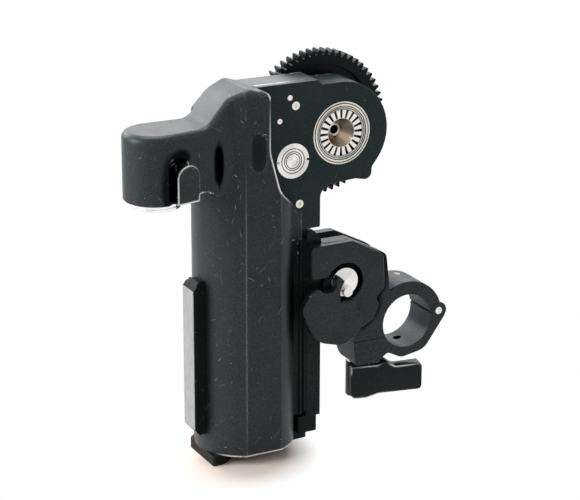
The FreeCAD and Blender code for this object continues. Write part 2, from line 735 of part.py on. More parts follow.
def bevel_wheel():
    """Mitre wheel on the transfer shaft: large end towards the cover."""
    gear = bevel_gear(-math.pi / 2, 0.6)
    gear.rotate(V(0, 0, 0), X_AXIS, -90)
    gear.translate(V(0, 0, TRANSFER_Z))
    hub = cyl_y(0, TRANSFER_Z, BEVEL_R - 1.0, COVER_BACK + 1.85, -BEVEL_R)
    return fuse_all([gear, hub]).cut(cyl_y(0, TRANSFER_Z, SHAFT_R - 1.2 + FIT, -20, 5))


def transfer_shaft():
    """Stepped shaft: thick under the pinion, thin through the mitre wheel."""
    thick = cyl_y(0, TRANSFER_Z, SHAFT_R, COVER_BACK - 1.8, COVER_BACK + 1.8)
    thin = cyl_y(0, TRANSFER_Z, SHAFT_R - 1.2, COVER_BACK + 1.7, -BEVEL_R * 0.55)
    return thick.fuse(thin).removeSplitter()


def bevel_pinion():
    """Mitre pinion on the drive shaft: large end down."""
    gear = bevel_gear(-math.pi / 2 + math.pi / BEVEL_TEETH, 0.6)
    gear.translate(V(0, 0, TRANSFER_Z))
    return gear.cut(cyl_z(0, 0, DRIVE_R - 0.8 + FIT, 80, 120))


def drive_shaft():
    low = cyl_z(0, 0, DRIVE_R, GEARHEAD_TOP - 6, TRANSFER_Z - BEVEL_R)
    high = cyl_z(0, 0, DRIVE_R - 0.8, TRANSFER_Z - BEVEL_R - 0.2, TRANSFER_Z - BEVEL_R * 0.55)
    return low.fuse(high).removeSplitter()


def drive_bush():
    outer = cyl_z(0, 0, REAR_BUSH_R - FIT, GEARHEAD_TOP + 0.2, BULKHEAD_TOP)
    return outer.cut(cyl_z(0, 0, DRIVE_R + RUN, 0, 200))


# ------------------------------------------------------------------ lens gear
def lens_gear():
    """Toothed ring on a thin web, with a hub on the output shaft."""
    gear = spur_gear(LENS_TEETH, LENS_MODULE, OUTPUT_X, OUTPUT_Z, LENS_FRONT, LENS_BACK,
                     0.0, REAR_BUSH_R - 1.2 + FIT)
    rim_in = LENS_MODULE * LENS_TEETH / 2 - 4.2
    hub_out = REAR_BUSH_R + 3.0
    front = ring_y(OUTPUT_X, OUTPUT_Z, rim_in, hub_out, LENS_FRONT - 1, LENS_FRONT + 1.5)
    back = ring_y(OUTPUT_X, OUTPUT_Z, rim_in, hub_out, LENS_BACK - 1.2, LENS_BACK + 1)
    return cut_all(gear, [front, back])


def lens_spacer():
    """Collar between the head's back and the lens gear."""
    return ring_y(OUTPUT_X, OUTPUT_Z, REAR_BUSH_R + 1.5, REAR_BUSH_R - 1.2 + FIT,
                  HEAD_BACK + 0.3, LENS_FRONT)


def lens_screw():
    """Retaining screw with a wide head on the back of the lens gear."""
    head = cyl_y(OUTPUT_X, OUTPUT_Z, REAR_BUSH_R + 1.5, LENS_BACK, LENS_BACK + 2.4)
    shank = cyl_y(OUTPUT_X, OUTPUT_Z, 1.5 - FIT, LENS_BACK - 9.0, LENS_BACK)
    hexagon = []
    for index in range(6):
        px, pz = polar(OUTPUT_X, OUTPUT_Z, 2.3, math.pi * index / 3)
        hexagon.append((px, pz))
    socket = slab(hexagon, LENS_BACK + 0.9, LENS_BACK + 3)
    return head.fuse(shank).removeSplitter().cut(socket)


# ----------------------------------------------------------- motor, base cap
def motor_can():
    can = cyl_z(0, 0, MOTOR_R, MOTOR_Z0, MOTOR_Z0 + MOTOR_LENGTH)
    boss = cyl_z(0, 0, 4.0, MOTOR_Z0 - 1.5, MOTOR_Z0)
    return can.fuse(boss).removeSplitter()


def gearhead():
    body = cyl_z(0, 0, MOTOR_R, GEARHEAD_Z0, GEARHEAD_TOP)
    return body.cut(cyl_z(0, 0, DRIVE_R + RUN, GEARHEAD_TOP - 6.5, GEARHEAD_TOP + 1))


def motor_sleeve():
    """Locating sleeve that holds motor and gearhead in the tube."""
    sleeve = cyl_z(0, 0, BORE_TUBE_R - FIT, MOTOR_Z0, GEARHEAD_TOP)
    return sleeve.cut(cyl_z(0, 0, MOTOR_R + FIT, 0, 200))


def base_cap():
    """Foot plate, drawn out to the rails, with a plug into the tube."""
    left = 0.5 - TUBE_R
    right = TUBE_R + 6.0
    plate = post([(left, 6.0 - TUBE_R, 0.8), (left + 5.0, 7.0 - TUBE_R, 2.0),
                  (left + 11.5, -4.6, 4.0), (right, -3.0, 1.5), (right, TUBE_R - 9.0, 3.0),
                  (right - 11.0, TUBE_R - 5.0, 2.0), (left + 4.5, TUBE_R - 5.0, 2.0),
                  (left, TUBE_R - 9.0, 2.0)], -DATUM, RIM_Z)
    plug = cyl_z(0, 0, BORE_TUBE_R - FIT, RIM_Z, RIM_Z + 6.0)
    hollow = cyl_z(0, 0, BORE_TUBE_R - 2.5, RIM_Z + 1.0, RIM_Z + 7.0)
    cap = plate.fuse(plug).removeSplitter().cut(hollow)
    return cap


def encoder_board():
    """Electronics board between the motor and the base cap."""
    board = cyl_z(0, 0, BORE_TUBE_R - 0.6, RIM_Z + 6.6, RIM_Z + 8.2)
    return board


# ------------------------------------------------------------ rails and bar
def rail_profile(side):
    """Section of a rail as half widths about its centre plane."""
    steps = [
        (TUBE_R - 5.0, 2.7), (TUBE_R + 1.3, 2.7), (TUBE_R + 1.6, 3.4),
        (RAIL_OUT - RAIL_HEAD_T - 0.4, 3.4),
        (RAIL_OUT - RAIL_HEAD_T, RAIL_HALF), (RAIL_OUT - 0.3, RAIL_HALF),
        (RAIL_OUT, RAIL_HALF - 0.3),
    ]
    front = [(side * x, RAIL_Y - half) for x, half in steps]
    back = [(side * x, RAIL_Y + half) for x, half in reversed(steps)]
    return front + back


def rail(side, top):
    bar = post(rail_profile(side), RAIL_Z0, top)
    slope = 3.0
    for z, sense in ((RAIL_Z0, 1), (top, -1)):
        wedge = slab([(side * (RAIL_OUT + 1), z - sense * 1),
                      (side * (RAIL_OUT + 1), z + sense * (slope + 1)),
                      (side * (RAIL_OUT - slope), z - sense * 1)], -30, 30)
        bar = bar.cut(wedge)
    return bar.cut(cyl_z(0, 0, TUBE_R, 0, 200)).cut(rail_screws(side, True))


def rail_screws(side, hole):
    """Screws that hold a rail from inside the tube, or their holes."""
    grow = FIT if hole else 0.0
    shapes = []
    for z in (18.0, 35.0, 52.0):
        inner = BORE_TUBE_R + 0.1
        outer = RAIL_OUT - 1.2
        shank = cyl_x(RAIL_Y, z, RAIL_SCREW_R + grow, inner, outer + grow)
        head = cyl_x(RAIL_Y, z, RAIL_SCREW_R + 1.2 + grow, inner, inner + 1.3 + grow)
        opening = cyl_x(RAIL_Y, z, RAIL_SCREW_R + 1.2 + grow, inner - 4.0, inner + 1.3 + grow)
        screw = shank.fuse(opening if hole else head).removeSplitter()
        if not hole:
            screw = screw.cut(cyl_x(RAIL_Y, z, 0.9, inner - 1, inner + 0.9))
        if side < 0:
            screw = screw.mirror(V(0, 0, 0), X_AXIS)
        shapes.append(screw)
    return Part.makeCompound(shapes)


BAR_SCREW_Z = (14.5, 26.5, 43.5)


def bar_section(grow):
    """Dovetail section of the console bar, widest at its outer face."""
    return [
        (BAR_IN, RAIL_Y - BAR_HALF + BAR_TAPER - grow),
        (BAR_OUT + grow, RAIL_Y - BAR_HALF - grow),
        (BAR_OUT + grow, RAIL_Y + BAR_HALF + grow),
        (BAR_IN, RAIL_Y + BAR_HALF - BAR_TAPER + grow),
    ]


def console_bar():
    """Dovetail bar on the right rail, which the rod bracket slides on."""
    bar = post(bar_section(0), RAIL_Z0 - 0.3, BAR_TOP)
    groove = box(BAR_IN - 1, RAIL_OUT + FIT, RAIL_Y - RAIL_HALF - FIT,
                 RAIL_Y + RAIL_HALF + FIT, 0, 200)
    bevel = slab([(BAR_OUT + 1, BAR_TOP - 4), (BAR_OUT + 1, BAR_TOP + 1),
                  (BAR_OUT - 4, BAR_TOP + 1)], -30, 30)
    return bar.cut(groove).cut(bevel).cut(bar_screws(True))


def bar_screws(hole):
    grow = FIT if hole else 0.0
    shapes = []
    for z in BAR_SCREW_Z:
        face = BAR_OUT - 0.3
        inner = RAIL_OUT + FIT
        shank = cyl_x(RAIL_Y, z, RAIL_SCREW_R + grow, inner - (1 if hole else 0), face)
        head = cyl_x(RAIL_Y, z, 2.7 + grow, face - 1.6, BAR_OUT + 1 if hole else face)
        screw = shank.fuse(head).removeSplitter()
        if not hole:
            screw = screw.cut(cyl_x(RAIL_Y, z, 1.0, face - 1.0, face + 1))
        shapes.append(screw)
    return Part.makeCompound(shapes)


def bar_stop():
    """Black end stop below the console bar."""
    left = TUBE_R + 0.6
    right = BAR_OUT - 0.6
    front = RAIL_Y - 4.0
    back = RAIL_Y + 4.0
    return post([(left, front, 0.8), (right, front, 0.8), (right, back, 0.8), (left, back, 0.8)],
                RIM_Z, RAIL_Z0 - 0.3)


# ------------------------------------------------------------------ connector
def connector_shell():
    """Round metal socket shell that hangs out of the horn."""
    z0 = HORN_BOTTOM - SOCKET_PROUD
    z1 = HORN_BOTTOM + SOCKET_DEPTH - 2
    shell = cyl_z(HORN_X, HORN_Y, SOCKET_R, z0, z1)
    mouth = cyl_z(HORN_X, HORN_Y, SOCKET_R - 1.1, z0 - 1, z1 - 4)
    groove = cyl_z(HORN_X, HORN_Y, SOCKET_R + 1, z0 + 0.8, z0 + 1.2)
    groove = groove.cut(cyl_z(HORN_X, HORN_Y, SOCKET_R - 0.3, z0, z1))
    return cut_all(shell, [mouth, groove])


def connector_insert():
    """Insulating insert that carries the contacts."""
    z1 = HORN_BOTTOM + SOCKET_DEPTH - 6
    insert = cyl_z(HORN_X, HORN_Y, SOCKET_R - 1.1 - FIT, z1 - 5.0, z1)
    key = box(HORN_X - 0.8, HORN_X + 0.8, HORN_Y - SOCKET_R + 1.4, HORN_Y - SOCKET_R + 2.6,
              z1 - 6, z1 - 3.5)
    return cut_all(insert, [key] + [contact(index, True) for index in range(PIN_COUNT)])


def contact(index, hole):
    count = PIN_COUNT * 2 // 3
    if index < count:
        px, py = polar(HORN_X, HORN_Y, 4.4, 2 * math.pi * index / count + 0.2)
    else:
        px, py = polar(HORN_X, HORN_Y, 1.8, 2 * math.pi * (index - count) / (PIN_COUNT - count))
    z1 = HORN_BOTTOM + SOCKET_DEPTH - 6
    radius = 0.45 + (0.02 if hole else 0.0)
    return cyl_z(px, py, radius, z1 - 9.0, z1 - 1.0)


def connector_contacts():
    return Part.makeCompound([contact(index, False) for index in range(PIN_COUNT)])


# ---------------------------------------------------------------- rod bracket
def from_bar(corners):
    """Outline whose X is counted from the console bar's outer face."""
    return [(corner[0] + BAR_OUT,) + tuple(corner[1:]) for corner in corners]


def plate_corners():
    """Front plate: nose over the bar, ridge, right shoulder and lower point."""
    return from_bar([
        (-5.5, 58.8, 1.0), (-5.5, BRACKET_TOP - 0.2, 1.0), (10.3, BRACKET_TOP, 2.0),
        (22.2, 64.0, 2.5), (22.9, 52.2, 1.0), (19.6, 48.6, 1.0), (20.9, 46.0, 2.0),
        (18.7, 41.4, 2.0), (14.1, 38.6, 0.8), (10.3, 43.0, 1.0), (10.3, 58.8, 1.0),
    ])


def bracket_body():
    """Bracket with the bar jaw, two cheeks and the upper half of the ring."""
    left = BAR_OUT + SLIDE_GAP
    nose = BAR_OUT - 5.5
    high = BRACKET_TOP - 0.2
    core = slab([(left, 48.0, 2.0), (left, BRACKET_TOP, 0.5), (BAR_OUT + 10.3, BRACKET_TOP, 2.0),
                 (BAR_OUT + 24.8, 63.0, 3.0), (BAR_OUT + 26.3, 50.0, 2.0), (BORE_X + 0.8, BORE_Z),
                 (BORE_X, SPLIT_Z), (JAW_LEFT, SPLIT_Z, 0.5), (JAW_LEFT, 44.0, 3.0),
                 (BAR_OUT + 8.3, 48.0, 2.0)], RING_FRONT, BRACKET_BACK)
    ring = cyl_y(BORE_X, BORE_Z, RING_R, RING_FRONT, BRACKET_BACK)
    ring = chamfer_edges(ring, PLATE_EDGE, is_round)
    ring = ring.cut(box(BORE_X, BORE_X + 2 * RING_R, -20, 20, 0, KNUCKLE_Z + HINGE_GAP / 2))
    ring = ring.cut(box(JAW_LEFT, BORE_X + 1, -20, 20, 0, SPLIT_Z))
    front = slab(plate_corners(), PLATE_FRONT, RING_FRONT)
    front = chamfer_edges(front, PLATE_EDGE, lambda m, e: m.y < PLATE_FRONT + 0.01)
    front = front.cut(cyl_y(CAM_X, CAM_Z, POCKET_R, -20, 0))
    lips = box(nose, left + 1, PLATE_FRONT + 1, BRACKET_BACK, 58.8, high)
    back_lip = box(nose, left + 1, RAIL_Y + BAR_HALF, BRACKET_BACK, 50.0, high)
    body = fuse_all([core, ring, front, lips, back_lip])
    knuckle = cyl_y(KNUCKLE_X, KNUCKLE_Z, KNUCKLE_R, *knuckle_middle(0))
    bar_room = post(bar_section(SLIDE_GAP), 0, 200)
    rail_room = box(TUBE_R - 2, BAR_IN + 0.1, RAIL_Y - BAR_HALF + BAR_TAPER - SLIDE_GAP,
                    RAIL_Y + BAR_HALF - BAR_TAPER + SLIDE_GAP, 0, 200)
    tools = [
        bar_room,
        rail_room,
        box(left - 1, 55, CHANNEL_FRONT, CHANNEL_BACK, CHANNEL_FLOOR, 90),
        cyl_y(BORE_X, BORE_Z, BORE_R, -20, 20),
        cyl_y(CAM_X, CAM_Z, CAM_SHAFT_R + RUN, -20, CHANNEL_FRONT + 1),
        cyl_y(CAM_X, CAM_Z, CAM_TAIL_R + RUN, 0, BRACKET_BACK + 1),
        screw_slot(),
        cyl_z(PLUG_X, PLUG_Y, PLUG_R + FIT, PLUG_Z0, PLUG_Z0 + 20),
    ]
    for y0, y1 in knuckle_sides(0.2):
        tools.append(cyl_y(KNUCKLE_X, KNUCKLE_Z, KNUCKLE_R + 0.3, y0, y1))
    body = cut_all(body, tools).fuse(knuckle).removeSplitter()
    return body.cut(cyl_y(KNUCKLE_X, KNUCKLE_Z, HINGE_PIN_R + FIT, -20, 20)) \
        .cut(cyl_y(BORE_X, BORE_Z, BORE_R, -20, 20))


def is_round(middle, edge):
    return edge.Curve.TypeId == "Part::GeomCircle"


def ring_plug():
    """Sealed set screw in the top of the ring."""
    plug = cyl_z(PLUG_X, PLUG_Y, PLUG_R, PLUG_Z0, PLUG_Z0 + 20)
    return plug.common(cyl_y(BORE_X, BORE_Z, RING_R - 0.1, -20, 20))


def knuckle_middle(gap):
    third = (BRACKET_BACK - RING_FRONT) / 3.8
    return (RING_FRONT + third + gap, BRACKET_BACK - third - gap)


def knuckle_sides(gap):
    low, high = knuckle_middle(0)
    return [(RING_FRONT - 1, low + gap), (high - gap, BRACKET_BACK + 1)]


def screw_slot():
    """Slot in the upper clamp half that lets the screw swing out."""
    z0 = SPLIT_Z - 5
    z1 = SCREW_TIP + 0.6
    near = cyl_z(SCREW_X, BRACKET_MID, SCREW_R + 2 * RUN, z0, z1)
    far = cyl_z(SCREW_X + SCREW_SLOT, BRACKET_MID, SCREW_R + 2 * RUN, z0, z1)
    between = box(SCREW_X, SCREW_X + SCREW_SLOT, BRACKET_MID - SCREW_R - 2 * RUN,
                  BRACKET_MID + SCREW_R + 2 * RUN, z0, z1)
    return fuse_all([near, far, between])


def clamp_shoe():
    """Sliding shoe that the cam presses against the console bar."""
    return box(BAR_OUT + 0.05, BAR_OUT + 0.05 + SHOE_T, CHANNEL_FRONT + 0.1, CHANNEL_BACK - 0.1,
               CHANNEL_FLOOR + 0.1, CHANNEL_FLOOR + 11.0)


def cam_shaft():
    """Cam shaft with its eccentric lobe and rear journal."""
    front = cyl_y(CAM_X, CAM_Z, CAM_SHAFT_R, PLATE_FRONT + 0.3, CHANNEL_FRONT + 0.15)
    lobe = cyl_y(CAM_X - CAM_THROW, CAM_Z, CAM_LOBE_R, CHANNEL_FRONT + 0.1, CHANNEL_BACK - 0.15)
    tail = cyl_y(CAM_X, CAM_Z, CAM_TAIL_R, CHANNEL_BACK - 0.2, BRACKET_BACK - 0.3)
    return fuse_all([front, lobe, tail])


LEVER_FRONT = PLATE_FRONT - 0.15 - LEVER_T


def cam_lever():
    """Cam lever: a broad thumb paddle hooked over the cam shaft."""
    outline = from_bar([
        (3.9, 59.6, 0.5), (5.9, 57.6, 0.5), (4.3, 54.6, 0.8), (4.3, 50.2, 0.3),
        (8.9, 50.2, 0.3), (9.9, 51.6, 0.5), (10.5, 47.0, 2.0), (12.9, 44.6, 1.5),
        (12.5, 38.6, 5.0), (5.3, 34.6, 6.0), (-5.1, 37.4, 9.0), (-10.5, 49.6, 4.0),
        (-5.5, 57.6, 3.0), (-1.7, 54.4, 2.0), (2.9, 54.2, 2.5), (2.7, 58.4, 0.8),
    ])
    plate = slab(outline, LEVER_FRONT, LEVER_FRONT + LEVER_T)
    return chamfer_edges(plate, 0.25, lambda m, e: m.y < LEVER_FRONT + 0.01)


def lever_link():
    """Step between the lever and the face of the cam shaft."""
    corners = from_bar([(3.7, 52.6, 0.6), (3.7, 57.0, 0.6), (5.5, 57.0, 0.4), (5.5, 52.6, 0.4)])
    return slab(corners, PLATE_FRONT - 0.15, PLATE_FRONT + 0.3)


def lever_screw():
    """Screw at the notch of the lever, into the cam shaft's face."""
    return cyl_y(BAR_OUT + 7.4, 53.4, 1.7, LEVER_FRONT + 0.4, PLATE_FRONT + 0.3)


# ---------------------------------------------------------------- lower jaw
def lower_jaw():
    """Hinged lower half of the rod ring, with the screw block."""
    gap = SPLIT_GAP / 2
    hinge = KNUCKLE_Z - HINGE_GAP / 2
    wedge = [
        (JAW_LEFT, SPLIT_Z - gap, 0.5), (BORE_X, SPLIT_Z - gap),
        (BORE_X, hinge), (KNUCKLE_X, hinge),
        (KNUCKLE_X + KNUCKLE_R * 0.86, KNUCKLE_Z - KNUCKLE_R * 0.6),
        (BORE_X + 7.2, BORE_Z - 11.6, 6.0), (BORE_X - 2.0, BORE_Z - 13.2, 4.0),
        (BORE_X - 7.6, BORE_Z - 10.4, 1.5), (SCREW_X + 4.6, JAW_BOTTOM, 1.0),
        (JAW_LEFT + 0.6, JAW_BOTTOM, 1.5),
    ]
    jaw = slab(wedge, RING_FRONT, BRACKET_BACK)
    low, high = knuckle_middle(0)
    tools = [
        cyl_y(BORE_X, BORE_Z, BORE_R, -20, 20),
        cyl_z(SCREW_X, BRACKET_MID, SCREW_R + 2 * RUN, 0, 60),
        cyl_z(PAD_X, PAD_Y, PAD_R, BORE_Z - BORE_R - PAD_DEPTH, BORE_Z),
        jaw_back_round(),
    ]
    jaw = cut_all(jaw, tools)
    ears = [cyl_y(KNUCKLE_X, KNUCKLE_Z, KNUCKLE_R, RING_FRONT, low),
            cyl_y(KNUCKLE_X, KNUCKLE_Z, KNUCKLE_R, high, BRACKET_BACK)]
    jaw = fuse_all([jaw] + ears)
    middle = cyl_y(KNUCKLE_X, KNUCKLE_Z, KNUCKLE_R + 0.3, low - 0.2, high + 0.2)
    pin = cyl_y(KNUCKLE_X, KNUCKLE_Z, HINGE_PIN_R + RUN, -20, 20)
    return cut_all(jaw, [middle, pin, cyl_y(BORE_X, BORE_Z, BORE_R, -20, 20)])


def jaw_back_round():
    """Takes the lower back edge of the screw block round."""
    radius = 6.5
    y0 = BRACKET_BACK - radius
    z0 = JAW_BOTTOM + radius
    right = BORE_X - 8.5
    corner = box(0, right, y0, BRACKET_BACK + 1, JAW_BOTTOM - 1, z0)
    return corner.cut(cyl_x(y0, z0, radius, -1, right + 1))


def hinge_pin():
    return cyl_y(KNUCKLE_X, KNUCKLE_Z, HINGE_PIN_R, RING_FRONT, BRACKET_BACK)


def clamp_washer():
    outer = cyl_z(SCREW_X, BRACKET_MID, HANDLE_HUB_R - 0.6, JAW_BOTTOM - WASHER_T, JAW_BOTTOM)
    return outer.cut(cyl_z(SCREW_X, BRACKET_MID, SCREW_R + 2 * RUN, 0, 60))


def clamp_handle():
    """Wing handle: a hub on the screw and one flat arm."""
    top = JAW_BOTTOM - WASHER_T - 0.05
    hub = cyl_z(SCREW_X, BRACKET_MID, HANDLE_HUB_R, HANDLE_BOTTOM, top)
    half = HANDLE_T / 2
    arm = post([(-HANDLE_HUB_R + 0.6, -half, 1.0), (HANDLE_REACH, -half, 1.2),
                (HANDLE_REACH, half, 1.2), (-HANDLE_HUB_R + 0.6, half, 1.0)],
               HANDLE_BOTTOM + 0.3, top - 1.0)
    arm = chamfer_edges(arm, 0.4, lambda m, e: m.z > top - 1.1 or m.z < HANDLE_BOTTOM + 0.4)
    arm.translate(V(0, -half * 0.9, 0))
    arm.rotate(V(0, 0, 0), Z_AXIS, HANDLE_TURN)
    arm.translate(V(SCREW_X, BRACKET_MID, 0))
    return fuse_all([hub, arm]).cut(cyl_z(SCREW_X, BRACKET_MID, SCREW_R + FIT, SCREW_FOOT, 60))


def clamp_screw():
    return cyl_z(SCREW_X, BRACKET_MID, SCREW_R, SCREW_FOOT, SCREW_TIP)


# --------------------------------------------------------------------- output
def build():
    """Every sub-part by its node name."""
    return {
        "motor_housing": motor_housing(),
        "cover_plate": cover_plate(),
        "cover_screws": cover_screws(),
        "cover_dowels": cover_dowels(),
        "main_bearing_race": main_bearing_race(),
        "main_bearing_inner": main_bearing_inner(),
        "middle_bearing_cap": middle_bearing_cap(),
        "output_shaft": output_shaft(),
        "output_wheel": output_wheel(),
        "output_rear_bush": output_rear_bush(),
        "lens_spacer": lens_spacer(),
        "lens_gear": lens_gear(),
        "lens_screw": lens_screw(),
        "middle_shaft": middle_shaft(),
        "output_pinion": output_pinion(),
        "transfer_wheel": transfer_wheel(),
        "middle_rear_bush": middle_rear_bush(),
        "transfer_shaft": transfer_shaft(),
        "transfer_pinion": transfer_pinion(),
        "bevel_wheel": bevel_wheel(),
        "bevel_pinion": bevel_pinion(),
        "drive_shaft": drive_shaft(),
        "drive_bush": drive_bush(),
        "gearhead": gearhead(),
        "motor_can": motor_can(),
        "motor_sleeve": motor_sleeve(),
        "encoder_board": encoder_board(),
        "base_cap": base_cap(),
        "left_rail": rail(-1, RAIL_TOP),
        "right_rail": rail(1, BAR_TOP - 2.0),
        "left_rail_screws": rail_screws(-1, False),
        "right_rail_screws": rail_screws(1, False),
        "console_bar": console_bar(),
        "bar_screws": bar_screws(False),
        "bar_stop": bar_stop(),
        "connector_shell": connector_shell(),
        "connector_insert": connector_insert(),
        "connector_contacts": connector_contacts(),
        "bracket_body": bracket_body(),
        "ring_plug": ring_plug(),
        "clamp_shoe": clamp_shoe(),
        "cam_shaft": cam_shaft(),
        "cam_lever": cam_lever(),
        "lever_link": lever_link(),
        "lever_screw": lever_screw(),
        "lower_jaw": lower_jaw(),
        "hinge_pin": hinge_pin(),
        "clamp_washer": clamp_washer(),
        "clamp_screw": clamp_screw(),
        "clamp_handle": clamp_handle(),
    }


def main():
    os.makedirs("parts", exist_ok=True)
    for name, shape in build().items():
        solids = len(shape.Solids)
        shape.translate(V(0, 0, DATUM))
        print(name, "solids", solids, "valid", shape.isValid(), "volume", round(shape.Volume, 2))
        shape.exportStep(os.path.join("parts", name + ".step"))


main()
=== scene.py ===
"""Follow focus motor unit: finishes, wing handle, floor, lights and camera."""

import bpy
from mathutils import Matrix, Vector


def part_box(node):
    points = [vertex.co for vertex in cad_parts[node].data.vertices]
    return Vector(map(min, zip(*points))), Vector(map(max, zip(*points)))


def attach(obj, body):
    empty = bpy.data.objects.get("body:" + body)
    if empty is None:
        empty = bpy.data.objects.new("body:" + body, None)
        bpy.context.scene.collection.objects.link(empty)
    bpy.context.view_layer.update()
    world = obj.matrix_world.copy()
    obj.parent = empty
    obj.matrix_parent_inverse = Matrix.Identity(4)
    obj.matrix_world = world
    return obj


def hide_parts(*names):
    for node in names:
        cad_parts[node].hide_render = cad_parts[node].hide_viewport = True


bl_info = {
    "name": "Follow Focus Unit",
    "version": (1, 0, 0),
    "blender": (4, 5, 0),
    "location": "View3D > Sidebar > Follow Focus",
    "description": "Dresses the follow focus motor and its rod bracket",
    "category": "Object",
}

import math

import bmesh
import bpy
from mathutils import Matrix, Vector

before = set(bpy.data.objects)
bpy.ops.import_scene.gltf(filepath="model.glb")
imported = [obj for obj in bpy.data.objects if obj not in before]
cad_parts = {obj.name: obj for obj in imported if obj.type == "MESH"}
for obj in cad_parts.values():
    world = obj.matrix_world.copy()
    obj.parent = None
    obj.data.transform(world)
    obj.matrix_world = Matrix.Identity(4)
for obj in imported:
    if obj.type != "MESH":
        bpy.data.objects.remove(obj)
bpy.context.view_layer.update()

MM = 0.001

# linear colours of the painted shade in the fans on turned faces, of the dark lines
# along cut grooves and of the painted shade in narrow gaps
FAN_SHADE = (0.02, 0.018, 0.016, 1.0)
GROOVE_DARK = (0.01, 0.009, 0.008, 1.0)
GAP_SHADE = (0.012, 0.011, 0.01, 1.0)
BLACK = (0.0, 0.0, 0.0, 1.0)
WHITE = (1.0, 1.0, 1.0, 1.0)

# how far the wing handle is turned about its screw
HANDLE_TURN = math.radians(-13.6)
# a bend up to the first angle is shaded smooth, and one from the second on is bevelled
SMOOTH_ANGLE = math.radians(35)
BREAK_ANGLE = math.radians(40)

# softboxes as place, width, height and watts, all aimed at the object's middle: two low
# behind, one overhead, one at the left and one at the right
LAMPS = (
    ((-0.33, 0.91, 0.60), 0.8, 0.6, 8.0),
    ((0.44, 0.90, 0.54), 0.8, 0.5, 3.0),
    ((0.05, 0.3, 1.15), 0.8, 0.5, 10.0),
    ((-1.0, 0.15, 0.45), 0.6, 0.8, 15.0),
    ((0.85, -0.45, 0.45), 0.4, 0.7, 1.0),
)
LAMP_AIM = (0.01, 0.0, 0.07)

# the camera's place, how far it is turned from looking along +Y, tilted down and rolled
CAMERA_PLACE = (-0.27702, -0.56184, 0.28065)
CAMERA_TURN, CAMERA_TILT, CAMERA_ROLL = (math.radians(angle)
                                         for angle in (-27.68, 18.52, 0.18))

# the floor keeps its own colour inside the first radius about the object's foot, where
# the shadow falls, and is the white background outside the second
SHADOW_CENTRE = (-0.006, -0.004, 0.0)
SHADOW_INNER, SHADOW_OUTER = 0.018, 0.029


# ------------------------------------------------------------------ helpers
def linear(code):
    """Hex sRGB colour, as the linear RGBA that a shader socket takes."""
    values = []
    for index in (1, 3, 5):
        part = int(code[index:index + 2], 16) / 255
        values.append(part / 12.92 if part <= 0.04045 else ((part + 0.055) / 1.055) ** 2.4)
    return (*values, 1.0)


def add_node(tree, kind, inputs=None, **settings):
    """Adds a node, sets its settings, then fills or links its inputs."""
    made = tree.nodes.new(kind)
    for name, value in settings.items():
        setattr(made, name, value)
    for key, value in (inputs or {}).items():
        socket = made.inputs[key]
        if isinstance(value, bpy.types.NodeSocket):
            tree.links.new(value, socket)
        else:
            socket.default_value = value
    return made


def new_material(name, **sockets):
    """A material with a Principled shader whose plain sockets are set."""
    material = bpy.data.materials.new(name)
    material.use_nodes = True
    tree = material.node_tree
    shader = tree.nodes["Principled BSDF"]
    for key, value in sockets.items():
        shader.inputs[key.replace("_", " ")].default_value = value
    return material, tree, shader


def paint(material, *names):
    """Gives CAD nodes their finish."""
    for name in names:
        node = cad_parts[name]
        node.data.materials.clear()
        node.data.materials.append(material)


def centre_of(name):
    """The middle of a CAD node's box, in metres."""
    low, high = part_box(name)
    return (low + high) / 2


def per(size):
    """Texture scale at which a pattern repeats every size millimetres."""
    return 1.0 / (size * MM)


def shaded(colour, share):
    """The same colour, darker: share is what is left of it."""
    return tuple(share * part for part in linear(colour)[:3]) + (1.0,)


def rounded_outline(corners, steps=6):
    """Points round an outline of (x, z, radius) corners, each arc in so many steps."""
    points = []
    for index, (x, z, radius) in enumerate(corners):
        here = Vector((x, z))
        back = (Vector(corners[index - 1][:2]) - here).normalized()
        ahead = (Vector(corners[(index + 1) % len(corners)][:2]) - here).normalized()
        half = back.angle(ahead) / 2
        centre = here + (back + ahead).normalized() * radius / math.sin(half)
        first = here + back * radius / math.tan(half) - centre
        last = here + ahead * radius / math.tan(half) - centre
        points += [centre + radius * first.slerp(last, step / steps)
                   for step in range(steps + 1)]
    return points


def softened(name, mesh, width):
    """An object of the mesh, with its sharp edges broken by width millimetres."""
    made = bpy.data.objects.new(name, mesh)
    bpy.context.scene.collection.objects.link(made)
    broken = made.modifiers.new("broken_edges", "BEVEL")
    broken.width = width * MM
    broken.segments = 2
    broken.angle_limit = BREAK_ANGLE
    return made


# ---------------------------------------------------------------- materials
def fading(tree, place, centre, radii, full=0.5):
    """A share that is 1 within an ellipsoid and falls to 0 at its skin.

    centre and radii are in millimetres, and the fall starts at full times the radius.
    """
    moved = add_node(tree, "ShaderNodeMapping",
                     {"Vector": place, "Location": [-c / r for c, r in zip(centre, radii)],
                      "Scale": [1.0 / (r * MM) for r in radii]}).outputs[0]
    out = add_node(tree, "ShaderNodeVectorMath", {0: moved}, operation="LENGTH")
    return add_node(tree, "ShaderNodeMapRange",
                    {"Value": out.outputs["Value"], "From Min": full, "From Max": 1.0,
                     "To Min": 1.0, "To Max": 0.0},
                    interpolation_type="SMOOTHSTEP").outputs[0]


